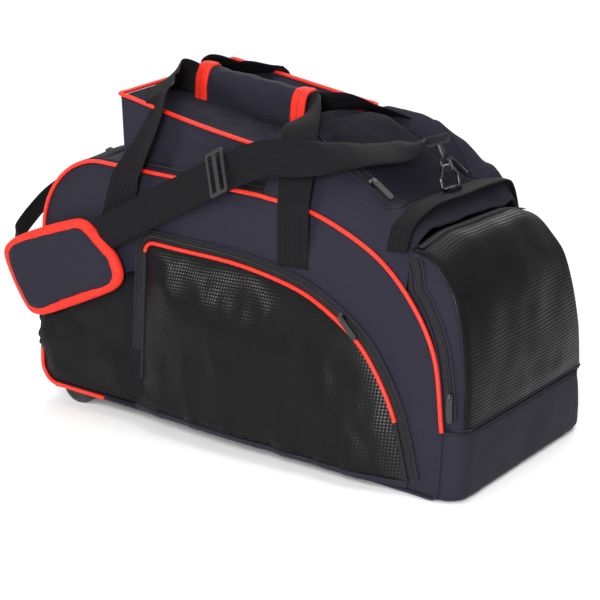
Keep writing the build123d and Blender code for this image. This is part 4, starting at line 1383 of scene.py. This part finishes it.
def padPieces():
    line = smoothLine([(x, z, 0) for x, z in padEdge], 120, True)
    centre = sum(line, Vector()) / len(line)
    rings = 16
    verts, faces = [], []
    for face in (1, -1):
        for r in range(rings):
            f = 1 - r / rings
            for p in line:
                q = centre + (p - centre) * f
                rimDepth = (1 - f) * 60
                high = pad["thick"] / 2 * (0.45 + 0.55 * ease(rimDepth / 12))
                verts.append((q.x, pad["y"] - face * high, q.y))
        verts.append((centre.x, pad["y"] - face * pad["thick"] / 2, centre.y))
    n = len(line)
    per = rings * n + 1
    for base, turned in ((0, False), (per, True)):
        made = [(base + r * n + j, base + r * n + (j + 1) % n, base + (r + 1) * n + (j + 1) % n,
                 base + (r + 1) * n + j)
                for r in range(rings - 1) for j in range(n)]
        made += [(base + (rings - 1) * n + j, base + (rings - 1) * n + (j + 1) % n, base + per - 1)
                 for j in range(n)]
        faces += [tuple(reversed(f)) for f in made] if turned else made
    faces += [(j, per + j, per + (j + 1) % n, (j + 1) % n) for j in range(n)]
    made = piece("shoulder_pad_cloth", verts, faces, "bag", ["charcoalPolyester"],
                 ["shoulder_pad"])
    bm = bmesh.new()
    bm.from_mesh(made.data)
    bmesh.ops.recalc_face_normals(bm, faces=bm.faces)
    bm.to_mesh(made.data)
    bm.free()
    inflate(made, pad)
    boxRuns(made)
    wide = pad["bind"]
    section = [(wide, -7.0), (wide * 0.6, -7.9), (3.0, -6.6), (0.2, -4.6), (-1.6, 0), (0.2, 4.6),
               (3.0, 6.6), (wide * 0.6, 7.9), (wide, 7.0),
               (wide, 5.6), (-0.2, 0), (wide, -5.6)]
    verts, runs, run = [], [], 0.0
    for j, p in enumerate(line):
        inward = inwardAt(line, j, centre)
        run += (p - line[j - 1]).length
        wave = 0.6 * noise.noise(Vector((j * 0.5, 3, 1)))
        for i, (s, o) in enumerate(section):
            q = p + inward * (s + (wave if i in (0, 8) else 0))
            verts.append((q.x, pad["y"] - o, q.y))
            runs.append((run, i * 3.0))
    m = len(section)
    faces = []
    for j in range(n):
        for i in range(m):
            k, l = (j + 1) % n, (i + 1) % m
            faces.append((j * m + i, j * m + l, k * m + l, k * m + i))
    piece("shoulder_pad_binding", verts, faces, "bag", ["redBinding"], runs=runs)
    for depth, label in ((8.6, "front"), (-8.6, "back")):
        pts = []
        for j, p in enumerate(line + line[:1]):
            q = p + inwardAt(line, j % n, centre) * (wide - 2.4)
            pts.append(Vector((q.x, pad["y"] - depth + math.copysign(1.0, depth), q.y)))
        lozenges("shoulder_pad_stitches_" + label, stitchRow(pts,
                [Vector((0, -math.copysign(1, depth), 0))] * len(pts), 4.2), (2.9, 0.8, 0.7),
                 "bag", "redBinding")


def inflate(made, spec):  # short cloth run that swells a pad, kept as the mesh
    applied(made, ("REMESH", {"mode": "VOXEL", "voxel_size": spec["voxel"] * 0.001}))
    rest = [v.co.copy() for v in made.data.vertices]
    mod = made.modifiers.new("swell", "CLOTH")
    mod.settings.quality = 5
    mod.settings.use_pressure = True
    mod.settings.uniform_pressure_force = spec["pressure"]
    mod.settings.effector_weights.gravity = 0
    scene = bpy.context.scene
    scene.frame_set(1)
    for step in range(1, 21):
        scene.frame_set(step)
    graph = bpy.context.evaluated_depsgraph_get()
    swollen = made.evaluated_get(graph).to_mesh()
    moved = [v.co.copy() for v in swollen.vertices]
    made.evaluated_get(graph).to_mesh_clear()
    made.modifiers.clear()
    scene.frame_set(1)
    for v, a, b in zip(made.data.vertices, rest, moved):
        shift = b - a
        limit = spec["cap"] * 0.001
        if shift.length > limit:
            shift = shift * (limit / shift.length)
        v.co = a + shift
    applied(made, ("SMOOTH", {"iterations": 3, "factor": 0.5}),
            ("SUBSURF", {"levels": 1, "render_levels": 1}))
    made.data.polygons.foreach_set("use_smooth", [True] * len(made.data.polygons))


padPieces()
print("strap and pad made")


carried = {"mouldedBlack": ["base_board", "strap_adjuster", "end_snap_hook", "wheel_end_snap_hook"],
           "gunmetal": ["end_ring", "wheel_end_ring"],
           "blackWebbing": ["end_ring_tab", "wheel_end_tab"]}
for sideName in sides:
    carried["mouldedBlack"] += [sideName + part for part in ("_wheel_housing", "_wheel_hub", "_skid")]
    carried.setdefault("tyreTread", []).append(sideName + "_tyre")
    carried["gunmetal"].append(sideName + "_axle")
    for kind in ("pocket", "lid", "end"):
        carried["gunmetal"].append(sideName + "_" + kind + "_slider")
        carried["mouldedBlack"].append(sideName + "_" + kind + "_pull")
for paintName, names in carried.items():
    for node in names:
        repaint(node, paintName)
